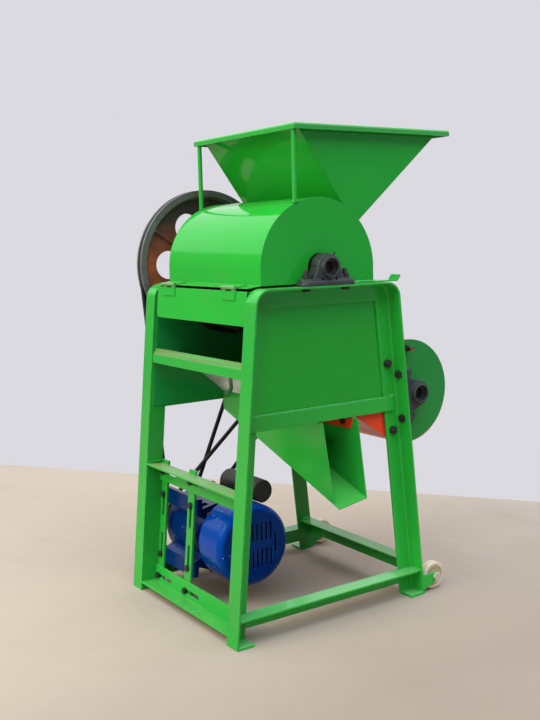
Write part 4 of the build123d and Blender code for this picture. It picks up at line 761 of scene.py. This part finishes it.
def block_casting():
    """A cast bearing block on Z = 0 with its bore along Y."""
    form = Lumps()
    form.rings([rounded_bar(67, 19, 12.7, 0.0, 0.0), rounded_bar(66.2, 18.4, 12, 8.5, 3.0),
                rounded_bar(63.5, 16.2, 10, 13.2, 4.5)])
    pad = ((15.5, 2), (15.0, 13.6), (13.8, 15.0))
    wing = ((19, 7), (45, 7), (38, 14.6), (34.5, 22), (30, 33), (24.5, 45), (19, 45))
    for side in (-1, 1):
        form.turned((MIDDLE_X + side * BLOCK_BOLT, MIDDLE_Y, 0), (0, 0, 1), pad, 32)
        form.rings([[Vector((side * x, y, z)) / 1000 for x, z in wing] for y in (-13.6, 13.6)])
    rear_half = ((28.9, 1.2), (28, 1.8), (28, 12), (27.4, 14), (25.8, 15), (21.5, 15.2), (21.4, 21),
                 (20.2, 22), (17.2, 22))
    hoop = [(radius, -y) for radius, y in reversed(rear_half)] + list(rear_half)
    turns = [2 * math.pi * i / 72 for i in range(72)]
    rings = []
    for radius, y in hoop:
        rings.append([Vector((radius * math.cos(turn), y, BLOCK_RISE + radius * math.sin(turn))) / 1000
                      for turn in turns])
    form.rings(rings, closed=True)
    for low, high in ((148, 158), (163, 173), (178, 188)):
        turns = [math.radians(low + (high - low) * i / 4) for i in range(5)]
        rib = [(29.2 * math.cos(turn), 29.2 * math.sin(turn)) for turn in turns]
        rib += [(26.5 * math.cos(turn), 26.5 * math.sin(turn)) for turn in reversed(turns)]
        form.rings([[Vector((x, y, BLOCK_RISE + z)) / 1000 for x, z in rib] for y in (-10, 10)])
    x, z = math.cos(NIPPLE_TURN), math.sin(NIPPLE_TURN)
    boss = ((5.4, -3), (5.0, 3.2), (4.2, 4.0))
    form.turned((MIDDLE_X + 26 * x, MIDDLE_Y, BLOCK_RISE + 26 * z), (x, 0, z), boss)
    return form.melted("block_casting", 0.0011, 4)


def bearing_blocks(material):
    """The four cast blocks in their places."""
    casting_mesh = block_casting()
    x = FOOT_HALF - FAN_UP * math.sin(LEG_LEAN)
    z = FAN_UP * math.cos(LEG_LEAN)
    tilt = Matrix.Rotation(math.pi / 2 - LEG_LEAN, 4, "Y")
    for side, end in ((-1, "front"), (1, "rear")):
        y = side * BLOCK_Y
        spots = (("drum", Matrix.Translation(place(DRUM[0], y, FRAME_TOP))),
                 ("fan", Matrix.Translation(place(x, y, z)) @ tilt))
        for shaft, spot in spots:
            mesh = casting_mesh.copy()
            mesh.transform(spot)
            mesh.materials.clear()
            mesh.materials.append(material)
            block = bpy.data.objects.new(f"{shaft}_bearing_block_{end}", mesh)
            bpy.context.scene.collection.objects.link(block)
            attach(block, "stand")
            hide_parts(f"{shaft}_pillow_block_{end}")


def grease_nipples(material):
    """One nipple on the shoulder of each bearing block."""
    nipples = Lumps()
    form = ((3.2, -3), (3.2, 1.6), (2.0, 2.0), (1.7, 4.6), (2.4, 5.2), (2.2, 6.8), (1.0, 7.6))
    for side in (-1, 1):
        for centre, turn in ((DRUM, NIPPLE_TURN), (FAN, NIPPLE_TURN - math.pi / 2 + LEG_LEAN)):
            x, z = math.cos(turn), math.sin(turn)
            nipples.turned((centre[0] + 30 * x, side * BLOCK_Y, centre[1] + 30 * z), (x, 0, z), form, 12)
    nipples.piece("grease_nipples", material, "stand", "bolt_steel")


def dress(materials):
    """Give every CAD node its material."""
    for material, names in materials:
        for name in names:
            slots = frame["nodes"][name].data.materials
            slots.clear()
            slots.append(material)


def floor():
    """Pale floor that ends at the foot of the backdrop."""
    along = Vector((1121.0, -1559.0, 0)).normalized()
    away = Vector((-along.y, along.x, 0))
    middle = place(523.5, 793.2, 0)
    half = along * 7
    depth = away * 9
    drop = 0.0005
    corners = [middle + half, middle - half, middle - half - depth, middle + half - depth]
    mesh = bpy.data.meshes.new("floor")
    mesh.from_pydata([tuple(corner) for corner in corners], [], [(0, 1, 2, 3)])
    mesh.materials.append(floor_finish())
    plane = bpy.data.objects.new("floor", mesh)
    plane.location.z = -drop
    bpy.context.scene.collection.objects.link(plane)


def lamp(name, spot, aim, size, power, colour):
    """A round lamp that looks from one place at another."""
    data = bpy.data.lights.new(name, "AREA")
    data.shape = "DISK"
    data.size = size
    data.energy = power
    data.color = colour
    lamp_object = bpy.data.objects.new(name, data)
    lamp_object.location = spot
    lamp_object.rotation_euler = (Vector(aim) - Vector(spot)).to_track_quat("-Z", "Y").to_euler()
    bpy.context.scene.collection.objects.link(lamp_object)


def world():
    """Soft sky over a dimmer horizon, with a plain pale backdrop where the camera or a reflection looks."""
    made = bpy.data.worlds.new("studio")
    made.use_nodes = True
    n = Nodes(made.node_tree)
    toward = n.node("ShaderNodeTexCoord", {}, "Generated")
    height = n.dot(toward, (-0.097, -0.070, 1.0))
    back = n.span(n.dot(toward, (0.1, 0.99, 0.0)), -1.0, 1.0)
    left = n.span(n.dot(toward, (-0.95, 0.2, 0.0)), -0.3, 1.0)
    beyond = n.span(n.dot(toward, (0.56, 0.83, 0.0)), 0.60, 0.88)
    level = n.blend(left, HORIZON_DIM, HORIZON_BRIGHT)
    light = n.blend(n.span(height, 0.62, 0.80), level, n.blend(back, SKY_NEAR, SKY_FAR))
    wall = n.blend(beyond, n.blend(back, AHEAD_SEEN, ASIDE_SEEN), WALL)
    shown = n.blend(n.span(height, 0.20, 0.235), wall, SKY_SEEN)
    looks = n.node("ShaderNodeLightPath", {}, "Is Camera Ray")
    for kind in ("Is Glossy Ray", "Is Transmission Ray"):
        looks = n.math("MAXIMUM", looks, n.node("ShaderNodeLightPath", {}, kind))
    glow = n.node("ShaderNodeBackground", {"Color": n.blend(looks, light, shown)})
    n.node("ShaderNodeOutputWorld", {"Surface": glow}, None)
    bpy.context.scene.world = made


def camera():
    """The photograph's view, found from the stand's corners."""
    data = bpy.data.cameras.new("camera")
    data.sensor_width = 36.0
    data.lens = 47.506
    spot = Matrix.Translation(place(-1170.53, -1733.18, 799.89))
    turn = Matrix.Rotation(math.radians(-34.037), 4, "Z")
    tip = Matrix.Rotation(math.radians(90 - 7.36), 4, "X")
    roll = Matrix.Rotation(math.radians(-1.457), 4, "Z")
    made = bpy.data.objects.new("camera", data)
    made.matrix_world = spot @ turn @ tip @ roll
    bpy.context.scene.collection.objects.link(made)
    bpy.context.scene.camera = made


def main():
    """Put the finished machine into its setting."""
    green_sheet = green("green_sheet", GREEN, dust=0.12, wear=0.55, gloss=0.075, wave=0.003, specks=0.9)
    # painted light and shade: the frame's green goes from darker to lighter along X
    green_steel_shaded = green("green_steel_shaded", GREEN_FRAME, dust=0.25, wear=0.75, gloss=0.16, wave=0.001, shine=0.3,
                        tones=(0.90, 1.22))
    # painted shade: the rear frame's green gets darker along X towards the blower end
    green_rear_shaded = green("green_rear_shaded", GREEN_FRAME, dust=0.25, wear=0.75, gloss=0.16, wave=0.001, shine=0.3,
                       tones=(0.90, 0.60))
    green_disc = green("green_disc", GREEN_DISC, dust=0.2, wear=0.4, gloss=0.14, wave=0.002, specks=0.9)
    # painted shade: the rear side panel in a darker, bluer copy of the green
    green_inner_shaded = green("green_inner_shaded", GREEN_INNER_SHADED, dust=0.12, wear=0.55, gloss=0.1, wave=0.003, specks=0.9)
    # painted light and shade: the foot rails' green is lighter at the front and darker behind, with dust on
    # top
    green_foot_shaded = green("green_foot_shaded", GREEN_FRAME, dust=0.4, wear=0.75, gloss=0.14, wave=0.001, soil=FOOT_DUST,
                       shine=0.3, tones=(1.18, 0.62), along=1, reach=(-0.19, -0.09))
    green_ledge = green("green_ledge", GREEN_FRAME, dust=0.8, wear=0.75, gloss=0.2, wave=0.001,
                        above=(0.12, 0.20))
    green_sill = green("green_sill", tone(GREEN_FRAME, 0.88), dust=0.9, wear=0.8, gloss=0.2, wave=0.001,
                       soil=SILL_DUST, settles=(0.32, 0.50), lines=(9.0, 0.35, 9.0))
    green_hinge = green("green_hinge", GREEN, dust=0.15, wear=0.5, gloss=0.2, wave=0.0005, rubbed=0.0058)
    green_rim = green("green_rim", GREEN, dust=0.12, wear=0.3, gloss=0.08, wave=0.003, specks=0.9, shine=0.8)
    green_dark = enamel("green_dark", GREEN_DARK, GREEN_SMEAR, CHIP, dust=0.1, wear=0.6, gloss=0.3,
                        wave=0.0005)
    weld_paint = enamel("weld_paint", WELD_PALE, GREEN, GREEN_WORN, dust=0.3, wear=0.6, gloss=0.25,
                        wave=0.0005)
    # painted shade: the cowl's faces that look to the front are darkened
    blue = enamel("blue_enamel", BLUE, tone(BLUE, 0.5), BLUE_WORN, dust=0.02, wear=0.3, gloss=0.06,
                  wave=0.001, cast=0.0001, soil=BLUE_WORN, specks=0.52, shine=0.22, tint=BLUE_TINT,
                  front_shade=tone(BLUE, 0.2))
    # painted shade: a darker copy of the motor's blue for its housing and shields
    blue_shaded = enamel("blue_shaded", tone(BLUE, 0.34), tone(BLUE, 0.12), BLUE_WORN, dust=0.02, wear=0.3,
                       gloss=0.1, wave=0.002, cast=0.0002, soil=BLUE_WORN, specks=0.6, shine=0.14,
                       tint=BLUE_TINT, front_shade=tone(BLUE, 0.15))
    orange = enamel("orange_enamel", ORANGE, tone(ORANGE, 0.8), ORANGE_WORN, dust=0.3, wear=0.6, gloss=0.28,
                    wave=0.002, soil=ORANGE_WORN, specks=0.9)
    iron = casting("cast_housing", CASTING, CASTING_EDGE)
    small_pulley = casting("small_pulley_iron", RIM_GREY, BARE_STEEL, gloss=0.4, grain=0.0002)
    bolts = bolt_metal()
    plated = bare_metal("plated_steel", PLATED_STEEL, rust=0.3, gloss=0.4, metal=0.3)
    worked = bare_metal("worked_steel", WORKED_STEEL, rust=0.4, gloss=0.5)
    turned_steel = bare_metal("turned_steel", TURNED_STEEL, rust=0.25, gloss=0.28, stretch=(1.0, 0.05, 1.0),
                              greased=GREASE_FROM)
    rubber = belt_rubber()
    plastic = moulded("black_plastic", PLASTIC, PLASTIC_DUST)

    dress((
        (green_sheet, ("front_side_panel", "hull_guard_panel", "drum_cover", "hopper_funnel",
                       "blower_end_panel")),
        (green_inner_shaded, ("rear_side_panel",)),
        (green_foot_shaded, ("bottom_rails", "foot_plates", "wheel_brackets")),
        (green_rim, ("hopper_rim",)),
        (green_disc, ("fan_disc_front", "fan_disc_rear")),
        (green_rear_shaded, ("rear_side_frame", "blower_cross_angle")),
        (green_steel_shaded, ("front_side_frame", "mid_rails", "lid_rest_angle", "lid_clips", "motor_bars",
                       "hopper_posts", "kernel_chute")),
        (green_ledge, ("motor_cross_angles",)),
        (green_sill, ("hull_sill",)),
        (green_hinge, ("hinge_frame_leaves", "hinge_lid_leaves")),
        (zinc_sheet(), ("hull_slide",)),
        (iron, ("drum_pillow_block_front", "drum_pillow_block_rear", "fan_pillow_block_front",
                "fan_pillow_block_rear")),
        (bolts, ("block_bolts", "motor_bolts", "blower_bolts")),
        (worked, ("concave_rods", "concave_ribs", "drum_discs", "beater_bars", "fan_impeller")),
        (plated, ("wheel_axles",)),
        (turned_steel, ("drum_shaft", "motor_shaft", "fan_shaft", "drum_bearing_rings", "fan_bearing_rings")),
        (rubber, ("main_belt", "fan_belt")),
        (blue, ("motor_cowl",)),
        (blue_shaded, ("motor_housing", "motor_fan_shield", "motor_drive_shield")),
        (plastic, ("capacitor_cover", "motor_cooling_fan")),
        (laminated(), ("motor_stator", "motor_rotor_core")),
        (drum_pulley_metal(), ("drum_pulley",)),
        (small_pulley, ("motor_pulley", "fan_pulley")),
        (orange, ("fan_scroll",)),
        (nylon(WHEEL), ("wheel_front", "wheel_rear")),
    ))

    v_belt("main_v_belt", "main_belt", y=269.0, first=DRUM, r1=178.0, second=MOTOR, r2=30.0, material=rubber)
    v_belt("fan_v_belt", "fan_belt", y=254.0, first=MOTOR, r1=48.0, second=FAN, r2=33.0, material=rubber)
    frame_welds(green_steel_shaded)
    cover_welds(green_sheet)
    motor_screws(bolts)
    grease_nipples(bolts)
    bearing_blocks(iron)
    pale_welds(weld_paint)
    outlet_strap(green_dark)
    leg_nuts(bolts)
    rolled_rim(green_rim)

    floor()
    world()
    lamp("key", spot=(-7.7, 0.4, 5.2), aim=(-0.05, 0.0, 0.45), size=5.0, power=475.0,
         colour=(1.0, 0.94, 0.72))
    camera()
    bpy.context.scene.view_settings.view_transform = "Standard"


main()
